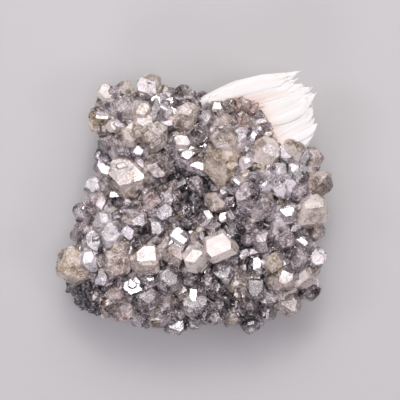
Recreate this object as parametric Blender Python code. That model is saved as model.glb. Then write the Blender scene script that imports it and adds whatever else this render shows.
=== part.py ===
"""Cerussite specimen: a galena rock lying on its flat broken back, crusted with blocky cerussite
crystals that face upwards, with a fan of white barite blades at its far right edge.

Metres, +Z up. The origin is on the flat underside, below the middle of the specimen. Seen from
above with +Y up the page, the specimen is as a collector would lay it down to look at it.
"""

import math
import random

import bmesh
import bpy
import numpy as np
from mathutils import Matrix, Vector, noise

MM = 0.001
TURN = 2 * math.pi

# Clear space left between two pieces that meet
GAP = 0.35 * MM

# Outline of the crystal crust seen from above, in mm, anticlockwise from the right
OUTLINE_MM = [
    (29.5, 3.5), (27.0, 11.5), (23.0, 15.0), (18.5, 18.5), (14.0, 22.0), (7.0, 23.5), (1.0, 25.0),
    (-5.0, 25.5), (-9.0, 27.5), (-15.0, 26.5), (-20.5, 25.0), (-23.0, 18.5), (-20.5, 14.0),
    (-20.5, 8.5), (-23.0, 4.0), (-25.5, -2.0), (-26.5, -8.5), (-29.5, -13.0), (-28.0, -19.0),
    (-24.0, -23.5), (-15.0, -26.5), (-3.0, -28.0), (6.0, -27.5), (12.5, -27.0), (18.0, -24.5),
    (24.5, -22.0), (28.0, -17.0), (29.0, -12.0), (28.0, -6.5), (29.0, -1.0),
]

# The rock: waist inside that outline, height of the waist, plain height of the top
ROCK_INSET = 3.6 * MM
WAIST_HEIGHT = 8.5 * MM
TOP_HEIGHT = 18.5 * MM
# Exponent of the rounded box that the rock's side view follows: 1 is an ellipse, 0 a square box
SQUARENESS = 0.62
# The skin runs from straight up (0) past the waist (90) to the edge of the flat foot
FOOT_ANGLE = math.radians(132)
ROUND_STEPS = 24
DOWN_STEPS = 7
ROCK_ROUGHNESS = 0.6 * MM
ROCK_GRAIN = 6.5 * MM
# The roughness is noise with this much contrast, rounded to ledges of this height
ROCK_CONTRAST = 2.0
LEDGE_SHARE = 0.5

# Swellings and hollows of the top: place, height and half width, in mm
RELIEF_MM = [
    (-14.0, 19.0, 2.6, 8.0),
    (-17.0, -9.0, 2.2, 9.0),
    (21.0, 1.0, 2.6, 8.5),
    (20.0, -17.0, 1.2, 7.0),
    (0.0, 21.0, 1.2, 7.0),
    (-3.0, 2.0, -3.2, 7.5),
    (8.5, -14.5, -2.2, 6.5),
]

# Galena splits along cubes: parallel blocks stand out of the bare rock
BLOCK_TURN = Matrix.Rotation(math.radians(27), 3, "Z") @ Matrix.Rotation(math.radians(14), 3, "X")
BLOCK_COUNT = 16
BLOCK_SIZES = (1.7 * MM, 3.2 * MM)
# How deep their centres lie, how far they keep below the crust and above the foot, and how high
# a centre is at least, as a share of the block's longest side
BLOCK_DEPTH = 0.5 * MM
BLOCK_BELOW_CRUST = math.radians(8)
BLOCK_ABOVE_FOOT = math.radians(14)
BLOCK_CLEARANCE = 0.9

# The crust that the crystals share, measured outwards from the rock
CRUST = 1.6 * MM
CRUST_EDGE = math.radians(90)
# The edge goes up and down round the rock: height of each wave, how many, and where it starts
CRUST_WAVES = [(math.radians(6), 5, 0.0), (math.radians(4), 11, 1.0)]
# The crust starts out as a filled dome that ends in a point at this height
DOME_BOTTOM = 4.25 * MM
# Bare rock at the near left corner: direction of its middle, half width, and where the crust ends
BARE_TOWARD = math.radians(221)
BARE_HALF_WIDTH = math.radians(13)
BARE_EDGE = math.radians(43)

# Cerussite's axial ratios, and the forms that its crystals here show: Miller indices, and how far
# the faces stand from the centre as a share of the crystal's radius
AXES = (0.610, 1.0, 0.723)
FORMS = [
    ((1, 1, 0), 0.97),
    ((0, 1, 0), 0.93),
    ((1, 1, 1), 0.96),
    ((0, 0, 1), 0.90),
]
FACE_SCATTER = 0.2
# Faces that can be turned to look up at the light: one of each kind
BASAL, PYRAMID, SIDE, PRISM, FREE = (0, 0, 1), (1, 1, 1), (0, 1, 0), (1, 1, 0), None
LIGHT_TILT = math.radians(17)
LIGHT_SCATTER = math.radians(4)
# A crystal set at no special angle leans this far from the crust's own direction, in degrees
FREE_LEAN = (20, 60)
# Slope is read a little inside a crystal's place, over this distance, and never past this
SLOPE_INSIDE = 0.93
SLOPE_STEP = 0.5 * MM
STEEPEST = 2.2
# A crystal at the rim sits as high as the crust is at this share of the way there
RIM_SHARE = 0.975
# The skin's direction is read over this angle, and no nearer to its top than this
SKIN_STEP = math.radians(2)
NEAREST_TOP = math.radians(0.5)
# Side of the block that a crystal is cut from, in radii
BLOCK_RADII = 5

# The crystals that stand out, in mm: x, y, radius, length along its axis over its width,
# which face looks up at the light, and how far the crystal is turned about that face's normal
CRYSTALS_MM = [
    # The knob at the far left
    (-19.0, 24.0, 2.1, 1.0, BASAL, 10), (-9.2, 24.8, 2.9, 1.1, FREE, 40),
    (-5.1, 23.3, 2.0, 1.0, FREE, 80), (-1.6, 22.6, 2.8, 1.0, FREE, 15),
    (-14.9, 20.3, 2.6, 1.0, PYRAMID, 100), (-20.2, 18.6, 2.9, 1.2, SIDE, 85),
    (-1.6, 18.9, 2.7, 1.0, PRISM, 20), (-8.8, 14.3, 3.2, 0.9, FREE, 10),
    (-18.3, 13.4, 2.4, 1.0, FREE, 70), (-10.6, 17.8, 2.0, 1.0, FREE, 30),
    (-14.3, 12.0, 2.1, 1.0, FREE, 20), (-2.5, 13.0, 1.9, 1.0, BASAL, 55),
    (-1.3, 10.1, 1.9, 1.0, PYRAMID, 25), (-5.4, 10.6, 1.9, 1.0, FREE, 140),
    # The left side
    (-14.3, 6.0, 4.3, 0.9, BASAL, 75), (-19.3, 7.8, 2.3, 1.2, SIDE, 30),
    (-7.4, 8.4, 2.8, 1.0, FREE, 130), (-21.6, 3.6, 2.1, 1.0, BASAL, 20),
    (-20.4, 0.0, 2.8, 1.0, FREE, 95), (-23.6, -2.2, 2.2, 1.3, SIDE, 65),
    (-13.2, -1.6, 2.3, 1.0, FREE, 0), (-19.0, -3.4, 2.0, 1.0, BASAL, 45),
    (-24.8, -6.6, 2.0, 1.0, FREE, 25), (-17.2, -6.8, 2.9, 1.0, BASAL, 0),
    (-25.9, -13.1, 4.1, 0.9, FREE, 35), (-22.4, -12.0, 2.4, 1.0, PYRAMID, 60),
    (-16.6, 1.2, 1.9, 1.0, PRISM, 50),
    # The near left
    (-16.1, -12.2, 3.2, 1.0, FREE, 110), (-10.0, -11.6, 3.4, 1.0, PRISM, 140),
    (-8.6, -5.4, 2.3, 1.3, PYRAMID, 150), (-13.2, -6.2, 2.3, 1.0, FREE, 75),
    (-13.2, -18.0, 2.5, 1.0, BASAL, 80), (-9.7, -20.1, 2.9, 1.0, PYRAMID, 20),
    (-15.4, -22.9, 2.2, 1.0, FREE, 50), (-7.8, -24.8, 2.3, 1.0, FREE, 15),
    (-5.3, -16.2, 3.1, 1.1, FREE, 85), (-4.0, -26.2, 2.4, 1.0, BASAL, 40),
    # The middle
    (-9.2, 0.6, 2.5, 1.0, FREE, 145), (-5.2, 0.4, 2.9, 1.0, FREE, 55),
    (4.4, 0.4, 2.3, 1.0, FREE, 65), (2.8, -2.8, 2.4, 1.0, PYRAMID, 170),
    (-3.1, -7.4, 2.4, 1.0, PRISM, 100), (-4.5, -10.9, 2.4, 1.0, FREE, 35),
    (0.3, -11.4, 3.1, 1.0, BASAL, 110), (5.5, -9.0, 3.5, 1.1, PYRAMID, 75),
    (5.6, 8.2, 3.9, 0.85, FREE, 20), (6.6, 13.6, 3.2, 1.0, FREE, 120),
    (1.0, 14.9, 2.4, 1.0, PRISM, 10), (10.3, -4.4, 2.3, 1.0, FREE, 0),
    (-0.6, -3.8, 2.0, 1.0, FREE, 95),
    # Below the barite
    (7.0, 18.0, 2.2, 1.0, FREE, 30), (12.7, 14.6, 2.0, 1.3, PYRAMID, 115),
    (15.4, 11.4, 3.0, 1.0, FREE, 50), (2.4, 18.4, 1.9, 1.2, SIDE, 5),
    # The right side
    (19.6, 10.8, 1.9, 1.0, BASAL, 60),
    (23.4, 10.0, 2.1, 1.0, PYRAMID, 0), (25.4, 9.8, 2.7, 1.0, FREE, 25),
    (18.6, 6.6, 2.1, 1.3, PRISM, 140), (27.0, 4.4, 2.8, 1.2, FREE, 70),
    (11.6, 1.6, 2.9, 1.0, FREE, 40), (22.8, 2.6, 2.4, 1.0, FREE, 110),
    (24.9, -1.6, 3.9, 0.95, PRISM, 55), (14.8, -0.8, 2.9, 1.0, FREE, 15),
    (20.0, -2.0, 2.0, 1.0, BASAL, 70), (26.2, -5.6, 2.3, 1.0, FREE, 90),
    (14.5, -7.8, 2.7, 1.0, FREE, 0), (19.3, -7.6, 2.1, 1.0, FREE, 35),
    # The near right
    (26.6, -11.7, 2.6, 1.0, BASAL, 15), (22.6, -12.2, 2.5, 1.0, FREE, 60),
    (17.4, -12.6, 2.3, 1.0, PRISM, 75), (23.4, -15.8, 2.6, 1.0, FREE, 45),
    (19.3, -16.2, 2.5, 1.0, BASAL, 35), (25.0, -18.2, 2.6, 1.0, FREE, 80),
    (20.2, -21.2, 3.0, 1.0, PYRAMID, 310), (8.6, -12.4, 2.0, 1.0, FREE, 10),
    (4.5, -18.2, 2.2, 1.1, PYRAMID, 120), (13.4, -18.4, 2.5, 1.0, SIDE, 0),
    (9.4, -17.0, 2.1, 1.0, FREE, 55), (11.9, -21.8, 2.4, 1.0, FREE, 130),
    (0.0, -21.4, 2.5, 1.4, SIDE, 90), (4.2, -23.0, 3.1, 1.1, FREE, 100),
    (8.8, -24.6, 2.0, 1.0, FREE, 75), (16.0, -23.0, 2.1, 1.0, FREE, 20),
    (12.6, -25.8, 2.2, 1.1, FREE, 65), (0.0, -15.8, 2.2, 1.0, FREE, 0),
]

# More crystals fill the gaps and go round the sides, each clear of its neighbours by this share
# of its radius
FILLER_RADIUS = 2.5 * MM
FILLER_COUNT = 20
FILLER_CROWDING = 0.1
FILLER_TRIES = 4000
LISTED_ROOM = 0.8
LOWEST_CRYSTAL = 1.2 * MM
FILLER_FROM_EDGE = math.radians(12)
FILLER_LEAN = (5, 50)
FILLER_STRETCH = (0.9, 1.3)

# The barite fan: two layers of blades, in mm. Tip, length, width, thickness, direction seen from
# above, how steeply it rises, and roll about its length, in degrees
BLADES_MM = [
    ((23.8, 28.4, 17.9), 23.4, 5.8, 1.9, 17, 1, 4),
    ((21.9, 26.4, 18.2), 19.4, 5.0, 1.9, 14, 1, 3),
    ((26.9, 24.9, 17.9), 15.0, 6.2, 1.9, 20, 2, 4),
    ((25.5, 22.6, 18.1), 12.4, 5.6, 1.8, 24, 2, 3),
    ((26.0, 20.5, 17.8), 11.2, 5.4, 1.8, 28, 3, 5),
    ((26.7, 18.0, 17.6), 10.4, 5.4, 1.8, 30, 3, 4),
    ((25.6, 15.5, 17.2), 8.6, 5.0, 1.8, 31, 4, 6),
    ((23.2, 13.2, 16.8), 6.4, 4.6, 1.8, 33, 4, 5),
    ((22.0, 25.4, 15.9), 18.0, 6.6, 2.8, 18, 2, 10),
    ((25.0, 21.9, 15.7), 15.0, 6.8, 2.8, 22, 3, 12),
    ((25.4, 18.0, 15.5), 12.0, 6.8, 2.8, 27, 4, 10),
    ((23.8, 15.0, 15.2), 9.0, 6.0, 2.8, 30, 5, 12),
]
# Outline of a blade seen flat, anticlockwise: shares of its length from the root and of its width
# from its axis. It is widest past its middle and ends in a slanting tip
BLADE_OUTLINE = [
    (0, -0.35), (0.62, -0.50), (0.86, -0.30), (1, -0.03), (0.98, 0.08), (0.62, 0.38), (0.31, 0.47),
    (0, 0.42),
]

MATERIALS = {
    "galena": ((0.055, 0.056, 0.066, 1.0), 0.42, 0.85, 0.0),
    "cerussite": ((0.60, 0.55, 0.48, 1.0), 0.08, 0.0, 0.7),
    "barite": ((0.92, 0.89, 0.85, 1.0), 0.38, 0.0, 0.0),
}


def clear_scene():
    """Empties the file that the script is run in."""
    for item in list(bpy.data.objects):
        bpy.data.objects.remove(item)


def make_material(name):
    """One plain Principled finish: colour, roughness, metallic and transmission."""
    colour, roughness, metallic, transmission = MATERIALS[name]
    material = bpy.data.materials.new(name)
    material.use_nodes = True
    shader = material.node_tree.nodes["Principled BSDF"]
    shader.inputs["Base Color"].default_value = colour
    shader.inputs["Roughness"].default_value = roughness
    shader.inputs["Metallic"].default_value = metallic
    shader.inputs["Transmission Weight"].default_value = transmission
    material.diffuse_color = colour
    return material


def add_object(name, shape, material=None):
    """Puts a bmesh into the scene as an object, and frees the bmesh."""
    mesh = bpy.data.meshes.new(name)
    shape.to_mesh(mesh)
    shape.free()
    item = bpy.data.objects.new(name, mesh)
    bpy.context.collection.objects.link(item)
    if material:
        mesh.materials.append(material)
    else:
        item.hide_render = True
        item.display_type = "WIRE"
    return item


def combine(item, other, operation):
    """Joins the other shape to the item or cuts it out, and merges what overlaps in either."""
    modifier = item.modifiers.new(operation.lower() + " " + other.name, "BOOLEAN")
    modifier.operation = operation
    modifier.solver = "EXACT"
    modifier.use_self = True
    modifier.object = other


def rim_distance(theta):
    """Distance from the middle to the outline of the crust, in the direction theta."""
    points = np.array(OUTLINE_MM) * MM
    angles = np.arctan2(points[:, 1], points[:, 0])
    return np.interp(theta, angles, np.hypot(points[:, 0], points[:, 1]), period=TURN)


def bareness(theta):
    """1 in the direction of the bare corner, falling to 0 on either side of it."""
    off = (theta - BARE_TOWARD + math.pi) % TURN - math.pi
    return math.exp(-((off / BARE_HALF_WIDTH) ** 4))


def rock_reach(theta):
    """Distance from the middle to the rock's waist. The bare corner comes right out to the rim."""
    return float(rim_distance(theta)) - ROCK_INSET * (1 - bareness(theta))


def top_height(x, y):
    """Height of the rock's top without its rounded edge: a plain with swellings and hollows."""
    height = TOP_HEIGHT
    for at_x, at_y, rise, half_width in np.array(RELIEF_MM) * MM:
        height = height + rise * np.exp(-((x - at_x) ** 2 + (y - at_y) ** 2) / half_width**2)
    return height


def roughness_at(point):
    """How far the broken rock stands out at a point, from -1 to 1, with ledges."""
    value = noise.noise(Vector(point) / ROCK_GRAIN) * ROCK_CONTRAST
    return max(-1.0, min(1.0, round(value / LEDGE_SHARE) * LEDGE_SHARE))


def skin_point(theta, phi, lift):
    """A point of the rock's skin, raised outwards by lift. theta goes round, phi from top to foot."""
    spread = math.sin(phi) ** SQUARENESS
    reach = (rock_reach(theta) + lift) * spread
    x, y = reach * math.cos(theta), reach * math.sin(theta)
    if phi <= math.pi / 2:
        rise = max(0.0, math.cos(phi)) ** SQUARENESS
        return Vector((x, y, WAIST_HEIGHT + (top_height(x, y) + lift - WAIST_HEIGHT) * rise))
    drop = (math.cos(phi) / math.cos(FOOT_ANGLE)) ** (1 / (1 + SQUARENESS))
    return Vector((x, y, WAIST_HEIGHT * (1 - drop)))


def skin_ring(phi_of, lift, rough):
    """One ring of skin points, at the angle phi_of(theta), with the rock's broken surface."""
    ring = []
    for step in range(ROUND_STEPS):
        theta = TURN * step / ROUND_STEPS
        point = skin_point(theta, phi_of(theta), lift)
        bump = rough * roughness_at(skin_point(theta, phi_of(theta), 0))
        ring.append(point + Vector((point.x, point.y, 0)).normalized() * bump)
    return ring


def add_rings(shape, rings, top, bottom=None):
    """Skins a stack of rings between a top point and either a bottom point or a flat foot."""
    rows = [[shape.verts.new(point) for point in ring] for ring in rings]
    count = len(rows[0])
    apex = shape.verts.new(top)
    foot = shape.verts.new(bottom) if bottom else None
    for i in range(count):
        j = (i + 1) % count
        shape.faces.new((rows[0][i], rows[0][j], apex))
        for upper, lower in zip(rows, rows[1:]):
            shape.faces.new((lower[i], lower[j], upper[j], upper[i]))
        if foot:
            shape.faces.new((rows[-1][j], rows[-1][i], foot))
    if not foot:
        shape.faces.new(reversed(rows[-1]))


def add_block(shape, centre, sides):
    """One cleavage block, parallel to all the others."""
    size = Matrix.Diagonal(Vector(sides)).to_4x4()
    place = Matrix.Translation(centre) @ BLOCK_TURN.to_4x4() @ size
    bmesh.ops.create_cube(shape, size=1.0, matrix=place)


def crust_edge(theta):
    """Where the crust stops on its way down the side: higher up over the bare corner."""
    wave = sum(height * math.sin(count * theta + start) for height, count, start in CRUST_WAVES)
    return CRUST_EDGE + wave + (BARE_EDGE - CRUST_EDGE) * bareness(theta)


def block_places():
    """Centres and sizes of the cleavage blocks, on rock that the crust leaves bare."""
    pick = random.Random(11)
    places = []
    while len(places) < BLOCK_COUNT:
        if len(places) % 2:
            theta = BARE_TOWARD + pick.uniform(-1, 1) * BARE_HALF_WIDTH
        else:
            theta = pick.uniform(0, TURN)
        low = crust_edge(theta) + BLOCK_BELOW_CRUST
        phi = pick.uniform(low, FOOT_ANGLE - BLOCK_ABOVE_FOOT)
        centre = skin_point(theta, phi, -BLOCK_DEPTH)
        sides = [pick.uniform(*BLOCK_SIZES) for _ in range(3)]
        if centre.z > max(sides) * BLOCK_CLEARANCE:
            places.append((centre, sides))
    return places


def add_blocks(shape, grow):
    """All cleavage blocks, each swollen by grow."""
    for centre, sides in block_places():
        add_block(shape, centre, [side + 2 * grow for side in sides])
    return shape


def rock_shape(grow):
    """The rock without its blocks. grow swells it on all sides, for cutting what sits on it."""
    shape = bmesh.new()
    rings = []
    for step in range(1, DOWN_STEPS + 1):
        phi = FOOT_ANGLE * step / DOWN_STEPS
        rough = ROCK_ROUGHNESS * math.sin(math.pi * min(1.0, step / DOWN_STEPS))
        rings.append(skin_ring(lambda theta, phi=phi: phi, grow, rough))
    add_rings(shape, rings, Vector((0, 0, float(top_height(0, 0)) + grow)))
    return shape


def crust_shape(grow):
    """The crust as a filled dome: the rock is taken out of it afterwards."""
    shape = bmesh.new()
    lift = CRUST + grow
    rings = []
    for step in range(1, DOWN_STEPS):
        share = step / (DOWN_STEPS - 1)
        rings.append(skin_ring(lambda theta, share=share: share * crust_edge(theta), lift, 0.0))
    top = Vector((0, 0, float(top_height(0, 0)) + lift))
    add_rings(shape, rings, top, bottom=Vector((0, 0, DOME_BOTTOM)))
    return shape


def face_normal(indices):
    """Direction of a face with these Miller indices, in a crystal with three square axes."""
    return Vector(index / axis for index, axis in zip(indices, AXES)).normalized()


def form_faces(indices):
    """All faces of one form: the indices with every mix of signs."""
    faces = {()}
    for index in indices:
        faces = {face + (sign * index,) for face in faces for sign in (-1, 1)}
    return sorted(faces)


def crystal_planes(pick, radius, stretch, grow):
    """Normals and distances of one crystal's faces. Each face stands a little off its form."""
    planes = []
    for indices, distance in FORMS:
        for face in form_faces(indices):
            normal = face_normal(face)
            away = distance * (1 + FACE_SCATTER * pick.uniform(-1, 1)) * radius
            longer = math.hypot(normal.x, normal.y, normal.z * stretch)
            planes.append((normal, away * longer + grow))
    return planes


def surface_normal(x, y):
    """Which way the crust faces above a point of the plan, never quite sideways."""
    at = Vector((x, y)) * SLOPE_INSIDE
    slopes = []
    for shift in (Vector((SLOPE_STEP, 0)), Vector((0, SLOPE_STEP))):
        rise = crust_height(*(at + shift)) - crust_height(*(at - shift))
        slopes.append(max(-STEEPEST, min(STEEPEST, rise / (2 * SLOPE_STEP))))
    return Vector((-slopes[0], -slopes[1], 1)).normalized()


def crust_height(x, y):
    """Height of the crust above a point of the plan. At the rim and past it, it stays level."""
    reach = rock_reach(math.atan2(y, x)) + CRUST
    share = min(RIM_SHARE, math.hypot(x, y) / reach)
    phi = math.asin(share ** (1 / SQUARENESS))
    rise = math.cos(phi) ** SQUARENESS
    return WAIST_HEIGHT + (float(top_height(x, y)) + CRUST - WAIST_HEIGHT) * rise


def facing(normal, toward, turn):
    """The rotation that brings a crystal's face round to look at toward, turned about it."""
    spin = Matrix.Rotation(turn, 4, toward)
    return spin @ normal.rotation_difference(toward).to_matrix().to_4x4()


def listed_crystals():
    """Centre, rotation, radius and stretch of each crystal in the list."""
    pick = random.Random(5)
    for x_mm, y_mm, radius_mm, stretch, face, turn in CRYSTALS_MM:
        x, y, radius = x_mm * MM, y_mm * MM, radius_mm * MM
        outwards = surface_normal(x, y)
        scatter = [LIGHT_SCATTER * pick.uniform(-1, 1) for _ in range(2)]
        if face is FREE:
            axis = pick.choice(["Z", "Y"])
            lean = Matrix.Rotation(math.radians(pick.uniform(*FREE_LEAN)), 4, axis)
            rotation = facing(Vector((0, 0, 1)), outwards, math.radians(turn)) @ lean
        else:
            toward = Vector((scatter[0], math.tan(LIGHT_TILT) + scatter[1], 1)).normalized()
            rotation = facing(face_normal(face), toward, math.radians(turn))
        yield Vector((x, y, crust_height(x, y))), rotation, radius, stretch


def filler_crystals(taken):
    """More crystals, dropped at random where nothing stands yet, top and sides alike."""
    pick = random.Random(23)
    placed = 0
    for _ in range(FILLER_TRIES):
        if placed == FILLER_COUNT:
            break
        theta = pick.uniform(0, TURN)
        lowest = math.cos(crust_edge(theta) - FILLER_FROM_EDGE)
        phi = math.acos(pick.uniform(lowest, 1))
        centre = skin_point(theta, phi, CRUST)
        room = min((centre - other).length - size for other, size in taken)
        if room < FILLER_CROWDING * FILLER_RADIUS or centre.z < FILLER_RADIUS + LOWEST_CRYSTAL:
            continue
        taken.append((centre, FILLER_RADIUS))
        turn = pick.uniform(0, TURN)
        lean = Matrix.Rotation(math.radians(pick.uniform(*FILLER_LEAN)), 4, "Y")
        rotation = facing(Vector((0, 0, 1)), surface_direction(theta, phi), turn) @ lean
        yield centre, rotation, FILLER_RADIUS, pick.uniform(*FILLER_STRETCH)
        placed += 1


def surface_direction(theta, phi):
    """Outward direction of the crust at a skin position."""
    left, right = theta + SKIN_STEP, theta - SKIN_STEP
    round_it = skin_point(left, phi, CRUST) - skin_point(right, phi, CRUST)
    high = max(NEAREST_TOP, phi - SKIN_STEP)
    down_it = skin_point(theta, phi + SKIN_STEP, CRUST) - skin_point(theta, high, CRUST)
    return down_it.cross(round_it).normalized()


def cut_crystal(planes, radius):
    """Cuts one crystal out of a block: every face plane slices off what lies outside it."""
    shape = bmesh.new()
    bmesh.ops.create_cube(shape, size=BLOCK_RADII * radius)
    for normal, distance in planes:
        everything = shape.verts[:] + shape.edges[:] + shape.faces[:]
        cut = bmesh.ops.bisect_plane(
            shape, geom=everything, dist=1e-8, plane_co=normal * distance, plane_no=normal,
            clear_outer=True,
        )
        rim = [part for part in cut["geom_cut"] if isinstance(part, bmesh.types.BMEdge)]
        if len(rim) > 2:
            bmesh.ops.contextual_create(shape, geom=rim)
    return shape


def all_crystals():
    """The crystals of the list, then the smaller ones between them."""
    listed = list(listed_crystals())
    taken = [(centre, radius * LISTED_ROOM) for centre, _, radius, _ in listed]
    return listed + list(filler_crystals(taken))


def druse_shape(crystals, grow):
    """Crust and crystals in one mesh, still overlapping. grow swells them as a cutter."""
    shape = crust_shape(grow)
    pick = random.Random(41)
    for centre, rotation, radius, stretch in crystals:
        crystal = cut_crystal(crystal_planes(pick, radius, stretch, grow), radius)
        crystal.transform(Matrix.Translation(centre) @ rotation)
        mesh = bpy.data.meshes.new("one crystal")
        crystal.to_mesh(mesh)
        crystal.free()
        shape.from_mesh(mesh)
        bpy.data.meshes.remove(mesh)
    return shape


def add_blade(shape, tip, length, width, thickness, heading, rise, roll):
    """One barite blade: its outline extruded to a plate, with its tip where the fan wants it."""
    place = (
        Matrix.Translation(tip)
        @ Matrix.Rotation(math.radians(heading), 4, "Z")
        @ Matrix.Rotation(math.radians(-rise), 4, "Y")
        @ Matrix.Rotation(math.radians(roll), 4, "X")
        @ Matrix.Translation((-length, 0, 0))
    )
    outline = [(along * length, across * width) for along, across in BLADE_OUTLINE]
    sides = []
    for height in (-thickness / 2, thickness / 2):
        sides.append([shape.verts.new(place @ Vector((x, y, height))) for x, y in outline])
    below, above = sides
    shape.faces.new(reversed(below))
    shape.faces.new(above)
    for i in range(len(outline)):
        j = (i + 1) % len(outline)
        shape.faces.new((below[i], below[j], above[j], above[i]))


def barite_shape():
    """All blades of the fan in one mesh, still overlapping."""
    shape = bmesh.new()
    for tip, length, width, thickness, heading, rise, roll in BLADES_MM:
        place = Vector(tip) * MM
        add_blade(shape, place, length * MM, width * MM, thickness * MM, heading, rise, roll)
    return shape


def keep_largest(item):
    """Applies the item's modifiers and drops the chips that the cuts have left beside it."""
    graph = bpy.context.evaluated_depsgraph_get()
    shape = bmesh.new()
    shape.from_object(item, graph)
    item.modifiers.clear()
    waiting = set(shape.verts)
    bodies = []
    while waiting:
        body = {waiting.pop()}
        edge = list(body)
        while edge:
            near = {link.other_vert(vert) for vert in edge for link in vert.link_edges} - body
            body |= near
            edge = list(near)
        waiting -= body
        bodies.append(body)
    bodies.sort(key=len)
    chips = [vert for body in bodies[:-1] for vert in body]
    bmesh.ops.delete(shape, geom=chips, context="VERTS")
    shape.to_mesh(item.data)
    shape.free()


def main():
    clear_scene()
    crystals = all_crystals()

    blocks = add_object("cleavage blocks", add_blocks(bmesh.new(), 0))
    matrix = add_object("galena_matrix", rock_shape(0), make_material("galena"))
    combine(matrix, blocks, "UNION")

    rock_cutter = add_object("rock cutter", add_blocks(rock_shape(GAP), GAP))
    druse = add_object("cerussite_druse", druse_shape(crystals, 0), make_material("cerussite"))
    combine(druse, rock_cutter, "DIFFERENCE")

    druse_cutter = add_object("druse cutter", druse_shape(crystals, GAP))
    barite = add_object("barite_fan", barite_shape(), make_material("barite"))
    combine(barite, druse_cutter, "DIFFERENCE")
    combine(barite, rock_cutter, "DIFFERENCE")
    for item in (matrix, druse, barite):
        keep_largest(item)


main()
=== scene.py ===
# %% [markdown]
# # Cerussite crystals on galena, with a fan of barite
#
# The specimen is three minerals grown together: a dark, heavy rock of galena, a crust of smoky to
# honey-coloured cerussite crystals, and a white sheaf of barite blades at the far right edge. It
# lies on its flat back and is looked at from straight above.
#
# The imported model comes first. It fixes the size and the place of everything, and each piece made
# below stands where one of its nodes stands.

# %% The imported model
import itertools
import math
import random

import bpy
import numpy as np
from mathutils import Matrix, Quaternion, Vector


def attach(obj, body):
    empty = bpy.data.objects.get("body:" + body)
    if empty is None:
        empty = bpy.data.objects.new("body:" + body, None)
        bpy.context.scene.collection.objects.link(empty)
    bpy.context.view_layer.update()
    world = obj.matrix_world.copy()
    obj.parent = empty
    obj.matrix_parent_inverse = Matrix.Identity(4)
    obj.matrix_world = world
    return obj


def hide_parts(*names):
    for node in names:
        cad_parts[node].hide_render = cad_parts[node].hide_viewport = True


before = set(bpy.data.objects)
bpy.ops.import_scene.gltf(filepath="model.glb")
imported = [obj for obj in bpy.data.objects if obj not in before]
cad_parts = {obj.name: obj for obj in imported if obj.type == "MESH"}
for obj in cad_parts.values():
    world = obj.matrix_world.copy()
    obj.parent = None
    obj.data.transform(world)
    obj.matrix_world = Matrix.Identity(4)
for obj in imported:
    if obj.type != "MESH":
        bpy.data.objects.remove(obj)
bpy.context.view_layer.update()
print("nodes:", sorted(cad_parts))

# %% [markdown]
# ## The rock's skin
#
# Crystals have to sit on something, so the first thing to write down is the rock's surface. A mesh
# could be sculpted, but a formula is better here: the same two angles then give the rock itself,
# and also the place of every crystal that grows on it. One angle goes round the rock, the other
# goes from the top of the dome over the waist to the flat foot.

# %% A skin with two parameters
MM = 0.001
TURN = 2 * math.pi

# Outline of the crust seen from above, anticlockwise from the right
OUTLINE_MM = [
    (29.5, 3.5), (27.0, 11.5), (23.0, 15.0), (18.5, 18.5), (14.0, 22.0), (7.0, 23.5), (1.0, 25.0),
    (-5.0, 25.5), (-9.0, 27.5), (-15.0, 26.5), (-20.5, 25.0), (-23.0, 18.5), (-20.5, 14.0),
    (-20.5, 8.5), (-23.0, 4.0), (-25.5, -2.0), (-26.5, -8.5), (-29.5, -13.0), (-28.0, -19.0),
    (-24.0, -23.5), (-15.0, -26.5), (-3.0, -28.0), (6.0, -27.5), (12.5, -27.0), (18.0, -24.5),
    (24.5, -22.0), (28.0, -17.0), (29.0, -12.0), (28.0, -6.5), (29.0, -1.0),
]
# Swellings and hollows of the top: place, height and half width
RELIEF_MM = [
    (-14.0, 19.0, 2.6, 8.0), (-17.0, -9.0, 2.2, 9.0), (21.0, 1.0, 2.6, 8.5),
    (20.0, -17.0, 1.2, 7.0), (0.0, 21.0, 1.2, 7.0), (-3.0, 2.0, -3.2, 7.5),
    (8.5, -14.5, -2.2, 6.5),
]
# How far the rock stays inside the crust, and the heights of its waist and its top
ROCK_INSET = 3.6 * MM
WAIST_HEIGHT = 8.5 * MM
TOP_HEIGHT = 18.5 * MM
# At 1 the side view would be an ellipse, and below 1 it is squarer
SQUARENESS = 0.62
# Where the skin reaches the foot, and the corner where the rock is bare
FOOT_ANGLE = math.radians(132)
BARE_TOWARD = math.radians(221)
BARE_HALF_WIDTH = math.radians(13)
# Slopes are measured over this angle, and no nearer to the pole than the next one
SLOPE_ANGLE = math.radians(2)
BESIDE_POLE = math.radians(0.5)


def rim_distance(theta):
    """Distance from the middle to the outline in the direction theta, read along the outline."""
    points = np.array(OUTLINE_MM) * MM
    angles = np.arctan2(points[:, 1], points[:, 0])
    return np.interp(theta, angles, np.hypot(points[:, 0], points[:, 1]), period=TURN)


def bareness(theta):
    """1 towards the bare corner, and next to nothing a little way to either side of it."""
    off = (theta - BARE_TOWARD + math.pi) % TURN - math.pi
    return np.exp(-((off / BARE_HALF_WIDTH) ** 4))


def rock_reach(theta):
    """Distance from the middle to the waist: the outline less an inset, but not at the corner."""
    return rim_distance(theta) - ROCK_INSET * (1 - bareness(theta))


def top_height(x, y):
    """A level plain plus one bell-shaped swelling or hollow for each line of the relief."""
    height = TOP_HEIGHT + 0 * x
    for at_x, at_y, rise, half_width in np.array(RELIEF_MM) * MM:
        height = height + rise * np.exp(-((x - at_x) ** 2 + (y - at_y) ** 2) / half_width**2)
    return height


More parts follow.
